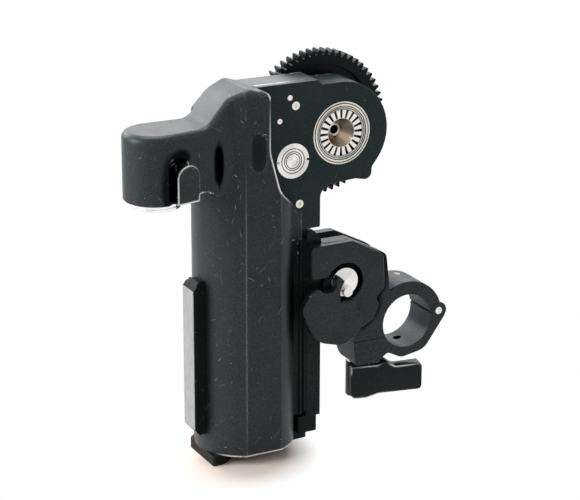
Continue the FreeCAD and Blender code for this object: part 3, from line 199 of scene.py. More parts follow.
def scratches(tree, place):
    """Hairline scratches, one to a cell: a thin sheet at a chance angle to the surface."""
    # they bend by up to 4 mm over about 9 mm
    wander = add_node(tree, "ShaderNodeTexNoise", {"Vector": place, "Scale": per(9.0)})
    drift = add_node(tree, "ShaderNodeVectorMath",
                     {0: wander.outputs["Color"], 1: (4.0 * MM,) * 3, 2: place},
                     operation="MULTIPLY_ADD").outputs[0]
    marks = None
    # cell and half the line's width in millimetres, and the share of cells with a line
    for cell, width, share in ((9.0, 0.06, 0.3), (4.5, 0.06, 0.4), (2.4, 0.08, 0.4)):
        cells = add_node(tree, "ShaderNodeTexVoronoi",
                         {"Vector": drift, "Scale": per(cell)})
        middle = cells.outputs["Position"]
        away = add_node(tree, "ShaderNodeVectorMath", {0: drift, 1: middle},
                        operation="SUBTRACT").outputs[0]
        heading = add_node(tree, "ShaderNodeVectorMath",
                           {0: cells.outputs["Color"], 1: (0.5, 0.5, 0.5)},
                           operation="SUBTRACT").outputs[0]
        heading = add_node(tree, "ShaderNodeVectorMath", {0: heading},
                           operation="NORMALIZE").outputs[0]
        aside = add_node(tree, "ShaderNodeVectorMath", {0: away, 1: heading},
                         operation="DOT_PRODUCT").outputs["Value"]
        aside = add_node(tree, "ShaderNodeMath", {0: aside},
                         operation="ABSOLUTE").outputs[0]
        line = add_node(tree, "ShaderNodeMapRange",
                        {"Value": aside, "From Min": 0.3 * width * MM,
                         "From Max": width * MM, "To Min": 1.0, "To Max": 0.0}).outputs[0]
        reach = add_node(tree, "ShaderNodeVectorMath", {0: away},
                         operation="LENGTH").outputs["Value"]
        reach = add_node(tree, "ShaderNodeMapRange",
                         {"Value": reach, "From Min": 0.1 * cell * MM,
                          "From Max": 0.35 * cell * MM, "To Min": 1.0,
                          "To Max": 0.0}).outputs[0]
        chance = add_node(tree, "ShaderNodeTexWhiteNoise",
                          {"Vector": middle}).outputs["Value"]
        chance = add_node(tree, "ShaderNodeMapRange",
                          {"Value": chance, "From Min": 1.0 - share,
                           "From Max": 1.0}).outputs[0]
        line = add_node(tree, "ShaderNodeMath", {0: line, 1: reach}, operation="MULTIPLY")
        line = add_node(tree, "ShaderNodeMath", {0: line.outputs[0], 1: chance},
                        operation="MULTIPLY").outputs[0]
        marks = line if marks is None else add_node(
            tree, "ShaderNodeMath", {0: marks, 1: line}, operation="MAXIMUM").outputs[0]
    return marks


def specks(tree, place):
    """Specks knocked bare, 0.2 to 0.4 mm across, in a third of the cells of 1.8 mm."""
    spots = add_node(tree, "ShaderNodeTexVoronoi", {"Vector": place, "Scale": per(1.8)})
    speck = add_node(tree, "ShaderNodeMapRange",
                     {"Value": spots.outputs["Distance"], "From Min": 0.05,
                      "From Max": 0.1, "To Min": 1.0, "To Max": 0.0}).outputs[0]
    chance = add_node(tree, "ShaderNodeTexWhiteNoise",
                      {"Vector": spots.outputs["Position"]}).outputs["Value"]
    chance = add_node(tree, "ShaderNodeMapRange",
                      {"Value": chance, "From Min": 0.7, "From Max": 1.1}).outputs[0]
    return add_node(tree, "ShaderNodeMath", {0: speck, 1: chance},
                    operation="MULTIPLY").outputs[0]


def bare_edges(tree, place, rounded, wear, knocked, calm):
    """Edges knocked bare, about 0.3 mm wide, more in some places than in others.

    rounded is the normal that the Bevel node gives.  Light that leaves the metal inwards
    tells a ridge, which wears, from a corner, which doesn't.
    """
    facing = add_node(tree, "ShaderNodeNewGeometry").outputs["Normal"]
    near = add_node(tree, "ShaderNodeVectorMath", {0: rounded, 1: facing},
                    operation="DOT_PRODUCT").outputs["Value"]
    bend = add_node(tree, "ShaderNodeMapRange",
                    {"Value": near, "From Min": 1.0, "From Max": 0.95}).outputs[0]
    within = add_node(tree, "ShaderNodeAmbientOcclusion", {"Distance": 0.8 * MM},
                      samples=8, inside=True, only_local=True).outputs["AO"]
    ridge = add_node(tree, "ShaderNodeMapRange",
                     {"Value": within, "From Min": 1.0, "From Max": 0.9}).outputs[0]
    sharp = add_node(tree, "ShaderNodeMapRange",
                     {"Value": within, "From Min": 0.92, "From Max": 0.72}).outputs[0]
    bend = add_node(tree, "ShaderNodeMath", {0: bend, 1: ridge},
                    operation="MULTIPLY").outputs[0]
    edge = add_node(tree, "ShaderNodeMath", {0: bend, 1: sharp},
                    operation="MAXIMUM").outputs[0]
    # knocks come about 5 mm apart, and reach further the more the piece is worn
    knocks = add_node(tree, "ShaderNodeTexNoise",
                      {"Vector": place, "Scale": per(5.0), "Detail": 6.0,
                       "Roughness": 0.75}).outputs["Fac"]
    least = 0.75 - 0.35 * wear
    hit = add_node(tree, "ShaderNodeMapRange",
                   {"Value": knocks, "From Min": least, "From Max": least + 0.1}).outputs[0]
    if knocked:
        chips = add_node(tree, "ShaderNodeMapRange",
                         {"Value": knocks, "From Min": 0.3, "From Max": 0.42}).outputs[0]
    for centre, radii in knocked:
        there = fading(tree, place, centre, radii)
        there = add_node(tree, "ShaderNodeMath", {0: there, 1: chips},
                         operation="MULTIPLY").outputs[0]
        hit = add_node(tree, "ShaderNodeMath", {0: hit, 1: there},
                       operation="MAXIMUM").outputs[0]
    edge = add_node(tree, "ShaderNodeMath", {0: edge, 1: hit},
                    operation="MULTIPLY").outputs[0]
    for centre, radii in calm:
        there = fading(tree, place, centre, radii, 0.8)
        kept = add_node(tree, "ShaderNodeMath", {0: 1.0, 1: there},
                        operation="SUBTRACT").outputs[0]
        edge = add_node(tree, "ShaderNodeMath", {0: edge, 1: kept},
                        operation="MULTIPLY").outputs[0]
    return edge


def rubbed_face(tree, place, distance):
    """The face distance millimetres out along X, which a clamp rubs grey in streaks."""
    parts = add_node(tree, "ShaderNodeSeparateXYZ", {0: place})
    out = add_node(tree, "ShaderNodeMath", {0: parts.outputs["X"]},
                   operation="ABSOLUTE").outputs[0]
    out = add_node(tree, "ShaderNodeMapRange",
                   {"Value": out, "From Min": (distance - 0.2) * MM,
                    "From Max": distance * MM}).outputs[0]
    # streaks 0.8 mm wide, drawn out along the rail
    length = add_node(tree, "ShaderNodeMapping",
                      {"Vector": place, "Scale": (1.0, 1.0, 0.3)}).outputs[0]
    streak = add_node(tree, "ShaderNodeTexNoise",
                      {"Vector": length, "Scale": per(0.8), "Detail": 3.0}).outputs["Fac"]
    streak = add_node(tree, "ShaderNodeMapRange",
                      {"Value": streak, "From Min": 0.2, "From Max": 0.8, "To Min": 0.32,
                       "To Max": 0.5}).outputs[0]
    return add_node(tree, "ShaderNodeMath", {0: out, 1: streak},
                    operation="MULTIPLY").outputs[0]


def anodised(name, dye, bare, film="#eafaff", specular=0.15, roughness=0.34, mottle=0.5,
             grain=0.3, scratched=0.5, wear=0.5, shade_spots=(), knocked=(), calm=(),
             rubbed=None, step_shade=0.0):
    """Black anodised aluminium: blasted, dyed, sealed, and knocked bare along its edges.

    The sealed dye gives the eye a near-black satin body under a clear film, which turns
    pale where the eye skims along it.  shade_spots lists (centre, radii, share) of hollows
    and sheltered places painted black as shade, knocked (centre, radii) of places whose
    edges are rubbed bare, and calm of sheltered ones, all in millimetres; rubbed is how far
    out the face lies that a clamp has rubbed grey, and step_shade is how dark the painted
    shade at the foot of a step is.
    """
    material, tree, shader = new_material(name, Specular_IOR_Level=specular,
                                          Specular_Tint=linear(film))
    place = add_node(tree, "ShaderNodeTexCoord").outputs["Object"]
    rounded = add_node(tree, "ShaderNodeBevel", {"Radius": 0.3 * MM}, samples=6).outputs[0]

    # handling leaves the sheen uneven, in patches about 18 mm across
    patches = add_node(tree, "ShaderNodeTexNoise",
                       {"Vector": place, "Scale": per(18.0), "Detail": 4.0,
                        "Roughness": 0.6}).outputs["Fac"]
    patch = add_node(tree, "ShaderNodeMapRange",
                     {"Value": patches, "From Min": 0.35, "From Max": 0.7}).outputs[0]

    # blasting leaves a grain of about 0.05 mm, drawn at 0.5 mm so that it shows
    blast = add_node(tree, "ShaderNodeTexNoise",
                     {"Vector": place, "Scale": per(0.5), "Detail": 3.0,
                      "Roughness": 0.7}).outputs["Fac"]

    # most marks lie together, where the unit is gripped or laid down
    marks = add_node(tree, "ShaderNodeMath",
                     {0: scratches(tree, place), 1: specks(tree, place)},
                     operation="MAXIMUM").outputs[0]
    handled = add_node(tree, "ShaderNodeMapRange",
                       {"Value": patches, "From Min": 0.4, "From Max": 0.6,
                        "To Min": 0.15 * scratched, "To Max": scratched}).outputs[0]
    marks = add_node(tree, "ShaderNodeMath", {0: marks, 1: handled},
                     operation="MULTIPLY").outputs[0]

    # painted shade: each listed place is painted black by its share, and keeps no scratches
    painted_dark = []
    for centre, radii, share in shade_spots:
        inside = fading(tree, place, centre, radii, 0.6)
        inside = add_node(tree, "ShaderNodeMath", {0: inside, 1: share},
                          operation="MULTIPLY").outputs[0]
        outside = add_node(tree, "ShaderNodeMath", {0: 1.0, 1: inside},
                           operation="SUBTRACT").outputs[0]
        marks = add_node(tree, "ShaderNodeMath", {0: marks, 1: outside},
                         operation="MULTIPLY").outputs[0]
        painted_dark.append(inside)

    # painted shade: the foot of a step is darkened to black within about a millimetre of
    # it, which is where the step hides a good part of the 3.5 mm around
    if step_shade:
        sky = add_node(tree, "ShaderNodeAmbientOcclusion", {"Distance": 3.5 * MM},
                       samples=12, only_local=True).outputs["AO"]
        painted_dark.append(add_node(tree, "ShaderNodeMapRange",
                                  {"Value": sky, "From Min": 0.98, "From Max": 0.88,
                                   "To Min": 0.0, "To Max": step_shade}).outputs[0])

    edge = bare_edges(tree, place, rounded, wear, knocked, calm)
    metal = add_node(tree, "ShaderNodeMath", {0: marks, 1: edge},
                     operation="MAXIMUM").outputs[0]
    if rubbed is not None:
        metal = add_node(tree, "ShaderNodeMath",
                         {0: metal, 1: rubbed_face(tree, place, rubbed)},
                         operation="MAXIMUM").outputs[0]

    # the dye takes unevenly: lighter on the grain's peaks, duller where it was handled
    peaks = add_node(tree, "ShaderNodeMapRange",
                     {"Value": blast, "From Min": 0.35, "From Max": 0.65,
                      "To Min": 1.0 - mottle, "To Max": 1.0 + mottle}).outputs[0]
    tone = add_node(tree, "ShaderNodeMix",
                    {"Factor": patch, 6: linear(dye), 7: shaded(dye, 0.75)},
                    data_type="RGBA").outputs[2]
    tone = add_node(tree, "ShaderNodeVectorMath", {0: tone, "Scale": peaks},
                    operation="SCALE").outputs[0]

    # painted shade: the listed places and the feet of steps are painted black and made
    # metallic, so that they give back no light and are black without a film
    metal_and_shade = metal
    for inside in painted_dark:
        tone = add_node(tree, "ShaderNodeMix", {"Factor": inside, 6: tone, 7: BLACK},
                        data_type="RGBA").outputs[2]
        metal_and_shade = add_node(tree, "ShaderNodeMath", {0: metal_and_shade, 1: inside},
                         operation="MAXIMUM").outputs[0]
    tone = add_node(tree, "ShaderNodeMix", {"Factor": metal, 6: tone, 7: linear(bare)},
                    data_type="RGBA").outputs[2]
    gloss = add_node(tree, "ShaderNodeMapRange",
                     {"Value": patch, "To Min": roughness, "To Max": roughness + 0.08})
    bump = add_node(tree, "ShaderNodeBump",
                    {"Strength": grain, "Distance": 0.05 * MM, "Height": blast,
                     "Normal": rounded})
    tree.links.new(tone, shader.inputs["Base Color"])
    tree.links.new(metal_and_shade, shader.inputs["Metallic"])
    tree.links.new(gloss.outputs[0], shader.inputs["Roughness"])
    tree.links.new(bump.outputs[0], shader.inputs["Normal"])
    return material


def turned_steel(name, colour, centre, direction, pitch, roughness=0.22, grooves=(),
                 fan=0.2, turn=0.0, tint=None, tint_radius=0.0, gap_shade_strength=0.0):
    """Bright steel faced on a lathe.

    The tool leaves fine rings about the axis.  Painted shade stands in for their
    reflection:
    it darkens the face in two fans, fan strong and turned by turn in degrees.  grooves are
    the radii of dark lines, and tint is the colour inside tint_radius, such as a straw
    temper; pitch and radii are in millimetres.  gap_shade_strength is how dark the painted
    shade makes the gaps.
    """
    material, tree, shader = new_material(name, Metallic=1.0)
    place = add_node(tree, "ShaderNodeTexCoord").outputs["Object"]
    moved = add_node(tree, "ShaderNodeMapping",
                     {"Vector": place, "Location": -Vector(centre)}).outputs[0]
    # one ring of the wave texture is pi / 10 of its own unit wide
    rings = add_node(tree, "ShaderNodeTexWave",
                     {"Vector": moved, "Scale": math.pi / 10.0 * per(pitch),
                      "Distortion": 0.4, "Detail": 1.0},
                     wave_type="RINGS", rings_direction=direction).outputs["Fac"]
    # oil and dust, in smears about 4 mm across
    smear = add_node(tree, "ShaderNodeTexNoise",
                     {"Vector": place, "Scale": per(4.0), "Detail": 3.0}).outputs["Fac"]
    share = add_node(tree, "ShaderNodeMapRange",
                     {"Value": smear, "From Min": 0.35, "From Max": 0.7}).outputs[0]
    tone = add_node(tree, "ShaderNodeMix",
                    {"Factor": share, 6: linear(colour), 7: shaded(colour, 0.85)},
                    data_type="RGBA").outputs[2]
    across, along = (axis for axis in "XYZ" if axis != direction)
    parts = add_node(tree, "ShaderNodeSeparateXYZ", {0: moved}).outputs
    flat = add_node(tree, "ShaderNodeCombineXYZ", {0: parts[across], 1: parts[along]})
    out = add_node(tree, "ShaderNodeVectorMath", {0: flat.outputs[0]},
                   operation="LENGTH").outputs["Value"]
    if tint is not None:
        inside = add_node(tree, "ShaderNodeMapRange",
                          {"Value": out, "From Min": (tint_radius - 0.3) * MM,
                           "From Max": (tint_radius + 0.3) * MM, "To Min": 1.0,
                           "To Max": 0.0}).outputs[0]
        tone = add_node(tree, "ShaderNodeMix", {"Factor": inside, 6: tone, 7: linear(tint)},
                        data_type="RGBA").outputs[2]
    # painted shade in place of the rings' reflection: two dark fans, after the cosine of
    # twice the angle about the axis
    angle = add_node(tree, "ShaderNodeMath", {0: parts[along], 1: parts[across]},
                     operation="ARCTAN2").outputs[0]
    angle = add_node(tree, "ShaderNodeMath",
                     {0: angle, 1: 2.0, 2: -2.0 * math.radians(turn)},
                     operation="MULTIPLY_ADD").outputs[0]
    angle = add_node(tree, "ShaderNodeMath", {0: angle}, operation="COSINE").outputs[0]
    angle = add_node(tree, "ShaderNodeMapRange",
                     {"Value": angle, "From Min": -0.6, "From Max": 0.9, "To Min": fan,
                      "To Max": 0.0}, interpolation_type="SMOOTHSTEP").outputs[0]
    if tint is not None:
        angle = add_node(tree, "ShaderNodeMath", {0: angle, 1: inside},
                         operation="MULTIPLY").outputs[0]
    tone = add_node(tree, "ShaderNodeMix", {"Factor": angle, 6: tone, 7: FAN_SHADE},
                    data_type="RGBA").outputs[2]
    # dark lines along the grooves at these radii
    for radius in grooves:
        line = add_node(tree, "ShaderNodeMath", {0: out, 1: radius * MM, 2: 0.15 * MM},
                        operation="COMPARE").outputs[0]
        line = add_node(tree, "ShaderNodeMath", {0: line, 1: 0.85},
                        operation="MULTIPLY").outputs[0]
        tone = add_node(tree, "ShaderNodeMix", {"Factor": line, 6: tone, 7: GROOVE_DARK},
                        data_type="RGBA").outputs[2]
    # painted shade: gaps narrower than about a millimetre are darkened
    if gap_shade_strength:
        sky = add_node(tree, "ShaderNodeAmbientOcclusion", {"Distance": 0.9 * MM},
                       samples=8, only_local=True).outputs["AO"]
        gap = add_node(tree, "ShaderNodeMapRange",
                       {"Value": sky, "From Min": 0.9, "From Max": 0.6, "To Min": 0.0,
                        "To Max": gap_shade_strength}).outputs[0]
        tone = add_node(tree, "ShaderNodeMix", {"Factor": gap, 6: tone, 7: GAP_SHADE},
                        data_type="RGBA").outputs[2]
    gloss = add_node(tree, "ShaderNodeMapRange",
                     {"Value": smear, "To Min": roughness - 0.05,
                      "To Max": roughness + 0.1})
    rounded = add_node(tree, "ShaderNodeBevel", {"Radius": 0.1 * MM}, samples=4)
    bump = add_node(tree, "ShaderNodeBump",
                    {"Strength": 0.25, "Distance": 0.01 * MM, "Height": rings,
                     "Normal": rounded.outputs[0]})
    tree.links.new(tone, shader.inputs["Base Color"])
    tree.links.new(gloss.outputs[0], shader.inputs["Roughness"])
    tree.links.new(bump.outputs[0], shader.inputs["Normal"])
    return material


def drawn_stock(name, colour, streak, metallic=1.0, roughness=0.3):
    """Bar, tube, sheet or moulding stock, with streaks so many millimetres wide."""
    material, tree, shader = new_material(name, Metallic=metallic)
    place = add_node(tree, "ShaderNodeTexCoord").outputs["Object"]
    length = add_node(tree, "ShaderNodeMapping",
                      {"Vector": place, "Scale": (1.0, 1.0, 0.15)}).outputs[0]
    field = add_node(tree, "ShaderNodeTexNoise",
                     {"Vector": length, "Scale": per(streak),
                      "Detail": 3.0}).outputs["Fac"]
    tone = add_node(tree, "ShaderNodeMix",
                    {"Factor": field, 6: linear(colour), 7: shaded(colour, 0.7)},
                    data_type="RGBA")
    gloss = add_node(tree, "ShaderNodeMapRange",
                     {"Value": field, "To Min": roughness - 0.04,
                      "To Max": roughness + 0.08})
    bump = add_node(tree, "ShaderNodeBump",
                    {"Strength": 0.2, "Distance": 0.01 * MM, "Height": field})
    tree.links.new(tone.outputs[2], shader.inputs["Base Color"])
    tree.links.new(gloss.outputs[0], shader.inputs["Roughness"])
    tree.links.new(bump.outputs[0], shader.inputs["Normal"])
    return material


def seen_directly(tree):
    """1 where the camera looks, straight or by a mirror or glass, and 0 for other light."""
    path = add_node(tree, "ShaderNodeLightPath").outputs
    seen = add_node(tree, "ShaderNodeMath",
                    {0: path["Is Camera Ray"], 1: path["Is Glossy Ray"]},
                    operation="MAXIMUM").outputs[0]
    return add_node(tree, "ShaderNodeMath", {0: seen, 1: path["Is Transmission Ray"]},
                    operation="MAXIMUM").outputs[0]


# ------------------------------------------------------------------- pieces
def wing_handle():
    """Wing handle: a round foot about the screw and a flat arm with a dished top.

    It is drawn in millimetres, with X along the arm and the screw's axis at the origin.
    """
    low, high = (corner.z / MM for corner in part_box("clamp_handle"))
    hub_radius = 4.0
    thickness = 4.8                 # of the arm
    behind, ahead = -3.4, 22.3      # its two ends
    bottom, top = low + 0.3, high - 1.0
    foot = bottom - 1.7             # the foot reaches below the arm
    shoulder = top + 0.9            # the top rises beside the jaw before it dips
    outline = rounded_outline([
        (behind, top, 0.8), (behind, foot, 2.2), (2.4, foot, 2.6),
        (6.6, bottom - 0.3, 4.0), (ahead, bottom, 1.4), (ahead, top - 0.6, 1.2),
        (15.4, top - 0.9, 2.0), (12.4, top - 1.0, 3.0), (9.6, shoulder, 0.5),
        (7.8, shoulder, 0.5), (6.4, top, 1.0)])
    arm = bmesh.new()
    front = -0.95 * thickness       # nearly all of the arm lies before the axis
    face = arm.faces.new([arm.verts.new((x, front, z)) for x, z in outline])
    grown = bmesh.ops.extrude_face_region(arm, geom=[face])["geom"]
    moved = [item for item in grown if isinstance(item, bmesh.types.BMVert)]
    bmesh.ops.translate(arm, vec=(0.0, thickness, 0.0), verts=moved)
    bmesh.ops.recalc_face_normals(arm, faces=arm.faces[:])
    hub = bmesh.new()
    height = high - (foot + 0.4)
    bmesh.ops.create_cone(hub, cap_ends=True, segments=48, radius1=hub_radius,
                          radius2=hub_radius, depth=height,
                          matrix=Matrix.Translation((0.0, 0.0, high - height / 2)))
    axis = centre_of("clamp_screw")
    place = (Matrix.Translation((axis.x, axis.y, 0.0))
             @ Matrix.Rotation(HANDLE_TURN, 4, "Z") @ Matrix.Scale(MM, 4))
    solids = []
    for label, form in (("wing_handle", arm), ("wing_hub", hub)):
        form.transform(place)
        mesh = bpy.data.meshes.new(label)
        form.to_mesh(mesh)
        form.free()
        solids.append(softened(label, mesh, 0.1))
    wing, drum = solids
    joined = wing.modifiers.new("hub", "BOOLEAN")
    joined.operation, joined.object, joined.solver = "UNION", drum, "EXACT"
    bpy.context.view_layer.update()
    whole = bpy.data.meshes.new_from_object(
        wing.evaluated_get(bpy.context.evaluated_depsgraph_get()))
    wing.modifiers.clear()
    wing.data = whole
    whole.shade_smooth()
    whole.set_sharp_from_angle(angle=SMOOTH_ANGLE)
    bpy.data.objects.remove(drum)
    return wing


# ----------------------------------------------------------------- settings
class FollowFocusFinish(bpy.types.PropertyGroup):
    casing_colour: bpy.props.StringProperty(
        name="Casing", description="Dyed colour of the casing, sRGB hex", default="#23282a")
    cover_colour: bpy.props.StringProperty(
        name="Cover", description="Dyed colour of the cover plate, sRGB hex",
        default="#212a2c")
    bracket_colour: bpy.props.StringProperty(
        name="Bracket", description="Dyed colour of the bracket, sRGB hex",
        default="#2e3336")
    bare_colour: bpy.props.StringProperty(
        name="Bare metal", description="Aluminium where the dye is rubbed off, sRGB hex",
        default="#dcdfe0")
    wear: bpy.props.FloatProperty(
        name="Wear", description="How bare the edges are rubbed", default=0.9, min=0.0,
        max=1.0, subtype="FACTOR")


class FollowFocusStage(bpy.types.PropertyGroup):
    floor_size: bpy.props.FloatProperty(
        name="Floor", description="Width of the floor", default=6.0, unit="LENGTH")
    lens: bpy.props.FloatProperty(
        name="Lens", description="Focal length in millimetres on a 36 mm sensor",
        default=123.58)


# ---------------------------------------------------------------- operators
class FF_OT_stage(bpy.types.Operator):
    """Floor, lights, background and camera"""
    bl_idname = "followfocus.stage"
    bl_label = "Stage"

    def execute(self, context):
        settings = context.scene.followfocus_stage
        self.floor(context.scene, settings.floor_size)
        self.background(context.scene)
        for place, width, height, power in LAMPS:
            self.lamp(context.scene, place, width, height, power)
        self.camera(context.scene, settings.lens)
        context.scene.view_settings.view_transform = "Standard"
        return {"FINISHED"}

    def floor(self, scene, size):
        """Matt white paper, which goes over to the white background outside the shadow."""
        form = bmesh.new()
        bmesh.ops.create_grid(form, x_segments=2, y_segments=2, size=size / 2)
        mesh = bpy.data.meshes.new("floor")
        form.to_mesh(mesh)
        form.free()
        floor = bpy.data.objects.new("floor", mesh)
        scene.collection.objects.link(floor)
        material, tree, shader = new_material("paper_sweep", Base_Color=linear("#ecdcd2"),
                                              Roughness=0.9)
        mesh.materials.append(material)
        place = add_node(tree, "ShaderNodeTexCoord").outputs["Object"]
        reach = add_node(tree, "ShaderNodeVectorMath", {0: place, 1: SHADOW_CENTRE},
                         operation="DISTANCE")
        far = add_node(tree, "ShaderNodeMapRange",
                       {"Value": reach.outputs["Value"], "From Min": SHADOW_INNER,
                        "From Max": SHADOW_OUTER})
        share = add_node(tree, "ShaderNodeMath",
                         {0: seen_directly(tree), 1: far.outputs[0]},
                         operation="MULTIPLY")
        white = add_node(tree, "ShaderNodeEmission", {"Color": WHITE, "Strength": 1.0})
        both = add_node(tree, "ShaderNodeMixShader",
                        {0: share.outputs[0], 1: shader.outputs[0], 2: white.outputs[0]})
        tree.links.new(both.outputs[0], tree.nodes["Material Output"].inputs["Surface"])

    def background(self, scene):
        """White to the eye, and a soft even light on the object."""
        world = scene.world or bpy.data.worlds.new("studio")
        scene.world = world
        world.use_nodes = True
        tree = world.node_tree
        tree.nodes.clear()
        soft = add_node(tree, "ShaderNodeBackground", {"Color": WHITE, "Strength": 0.3})
        white = add_node(tree, "ShaderNodeBackground", {"Color": WHITE, "Strength": 1.0})
        both = add_node(tree, "ShaderNodeMixShader",
                        {0: seen_directly(tree), 1: soft.outputs[0], 2: white.outputs[0]})
        add_node(tree, "ShaderNodeOutputWorld", {"Surface": both.outputs[0]})

    def lamp(self, scene, place, width, height, power):
        """A softbox, its size in metres and its power in watts."""
        light = bpy.data.lights.new("softbox", "AREA")
        light.shape = "RECTANGLE"
        light.size = width
        light.size_y = height
        light.energy = power
        lamp = bpy.data.objects.new("softbox", light)
        lamp.location = place
        aim = Vector(LAMP_AIM) - Vector(place)
        lamp.rotation_euler = aim.to_track_quat("-Z", "Y").to_euler()
        scene.collection.objects.link(lamp)

    def camera(self, scene, lens):
        """The camera, built from its own right, up and forward directions."""
        data = bpy.data.cameras.new("camera")
        data.sensor_width = 36.0
        data.lens = lens
        data.clip_start = 0.05
        data.clip_end = 20.0
        camera = bpy.data.objects.new("camera", data)
        turn, tilt, roll = CAMERA_TURN, CAMERA_TILT, CAMERA_ROLL
        right = Vector((math.cos(turn), math.sin(turn), 0.0))
        level = Vector((-math.sin(turn), math.cos(turn), 0.0))
        ahead = level * math.cos(tilt) - Vector((0.0, 0.0, math.sin(tilt)))
        above = Vector((0.0, 0.0, math.cos(tilt))) + level * math.sin(tilt)
        side = right * math.cos(roll) + above * math.sin(roll)
        top = above * math.cos(roll) - right * math.sin(roll)
        turned = Matrix((side, top, -ahead)).transposed().to_4x4()
        camera.matrix_world = Matrix.Translation(CAMERA_PLACE) @ turned
        scene.collection.objects.link(camera)
        scene.camera = camera


class FF_OT_casing(bpy.types.Operator):
    """Casing, cover plate and foot"""
    bl_idname = "followfocus.casing"
    bl_label = "Casing"

    def execute(self, context):
        look = context.scene.followfocus_finish
        # painted shade, in black: the valley round the lug, with its head and its left
        # bank, the hollow where the horn meets the tube, the pill-shaped recess, and the
        # strip that the bracket shelters
        shade_places = (((-31.2, -14.2, 100.0), (4.8, 3.2, 15.0), 1.0),
                   ((-30.0, -16.5, 110.4), (4.8, 3.0, 3.8), 0.9),
                   ((-33.4, -17.5, 101.5), (3.8, 7.0, 13.5), 0.8),
                   ((-15.3, -14.5, 105.8), (2.2, 6.0, 9.2), 1.0),
                   ((-1.8, -15.2, 108.4), (5.5, 0.45, 13.0), 0.6),
                   ((15.0, -10.0, 57.0), (8.5, 16.0, 26.0), 0.85))
        # beside the cover, round the lug, along the tube's foot, over the head and along
        # the left edge of the flat
        worn = (((8.0, -16.0, 106.0), (9.0, 9.0, 29.0)),
                ((-26.5, -17.0, 99.0), (7.0, 9.0, 14.0)),
                ((0.0, -16.0, 3.4), (22.0, 12.0, 2.5)),
                ((4.0, -12.0, 128.0), (16.0, 12.0, 4.0)),
                ((-6.4, -15.8, 52.0), (1.5, 3.0, 60.0)))
        # the hollow, the horn's front, the valley's floor and head, and the recess
        sheltered = (((-15.2, -14.0, 106.0), (5.0, 9.0, 11.0)),
                     ((-36.0, -16.0, 101.5), (4.2, 6.0, 15.0)),
                     ((-33.0, -13.5, 101.5), (4.0, 2.6, 15.0)),
                     ((-28.8, -16.5, 112.0), (4.6, 3.5, 3.4)),
                     ((-1.8, -16.0, 108.4), (3.8, 2.5, 8.4)))
        paint(anodised("anodised_casing", look.casing_colour, look.bare_colour,
                       specular=0.25, grain=0.35, scratched=0.55, wear=0.6 * look.wear,
                       shade_spots=shade_places, knocked=worn, calm=sheltered), "motor_housing")
        # fly-cut plate, smoother and less worn than the casing
        paint(anodised("anodised_cover", look.cover_colour, look.bare_colour,
                       film="#d8fafa", roughness=0.3, mottle=0.4, grain=0.12,
                       scratched=0.15, wear=0.15 * look.wear), "cover_plate")
        # moulded nylon: dead black, no bare metal under it
        paint(anodised("moulded_cap", "#0e0f0f", "#3c3d3d", roughness=0.5, grain=0.3,
                       scratched=0.1, wear=0.0), "base_cap", "bar_stop")
        return {"FINISHED"}


class FF_OT_rails(bpy.types.Operator):
    """Dovetail rails, console bar and their screws"""
    bl_idname = "followfocus.rails"
    bl_label = "Rails"

    def execute(self, context):
        look = context.scene.followfocus_finish
        rail_face = -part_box("left_rail")[0].x / MM
        # the open rail, rubbed by clamps on its face
        paint(anodised("anodised_rail", "#121516", look.bare_colour, specular=0.06,
                       scratched=0.2, wear=0.4 * look.wear, rubbed=rail_face),
              "left_rail")
        paint(anodised("anodised_bar", "#24292a", look.bare_colour, specular=0.08,
                       scratched=0.2, wear=0.0), "right_rail", "console_bar")
        paint(drawn_stock("black_oxide_steel", "#1c1d1f", 1.1, metallic=0.6,
                          roughness=0.4),
              "left_rail_screws", "right_rail_screws", "bar_screws", "lens_screw")
        return {"FINISHED"}


class FF_OT_bearings(bpy.types.Operator):
    """Bearings, bearing cap, drive hub, pins and screws on the cover"""
    bl_idname = "followfocus.bearings"
    bl_label = "Bearings"

    def execute(self, context):
        hub = centre_of("output_shaft")
        cap = centre_of("middle_bearing_cap")
        # painted shade: two dark fans on each turned face, and darkened narrow gaps on the
        # bearings and the hub
        paint(turned_steel("bearing_steel", "#e4e2d8", hub, "Y", 0.35, roughness=0.2,
                           grooves=(9.9, 8.4), fan=0.15, turn=45.0, gap_shade_strength=0.4),
              "main_bearing_race", "main_bearing_inner")
        # the cone is tempered to a straw brown
        paint(turned_steel("hub_steel", "#f0ede6", hub, "Y", 0.5, roughness=0.18,
                           grooves=(7.85,), fan=0.5, turn=-50.0, tint="#d2c7b9",
                           tint_radius=4.9, gap_shade_strength=0.65), "output_shaft")
        paint(turned_steel("cap_steel", "#f0efeb", cap, "Y", 0.4, roughness=0.24,
                           grooves=(4.15, 3.15, 2.5), fan=0.15, turn=45.0),
              "middle_bearing_cap", "middle_shaft")
        paint(drawn_stock("ground_steel", "#f2f0ea", 1.4, roughness=0.25),
              "cover_screws", "cover_dowels", "transfer_shaft", "drive_shaft")
        return {"FINISHED"}


class FF_OT_train(bpy.types.Operator):
    """Gear train, motor and what else is inside"""
    bl_idname = "followfocus.train"
    bl_label = "Gear train"

    def execute(self, context):
        paint(drawn_stock("hobbed_steel", "#8d8c88", 1.7),
              "output_wheel", "output_pinion", "transfer_wheel", "transfer_pinion",
              "bevel_wheel", "bevel_pinion")
        paint(drawn_stock("sintered_bronze", "#a8794a", 0.7, roughness=0.4),
              "output_rear_bush", "middle_rear_bush", "drive_bush", "clamp_shoe")
        paint(drawn_stock("drawn_steel", "#8a8b8c", 3.3, roughness=0.35),
              "motor_can", "gearhead")
        paint(drawn_stock("sleeve_plastic", "#18191a", 2.0, metallic=0.0, roughness=0.5),
              "motor_sleeve")
        paint(drawn_stock("circuit_board", "#1d4a2c", 1.3, metallic=0.0, roughness=0.35),
              "encoder_board")
        return {"FINISHED"}


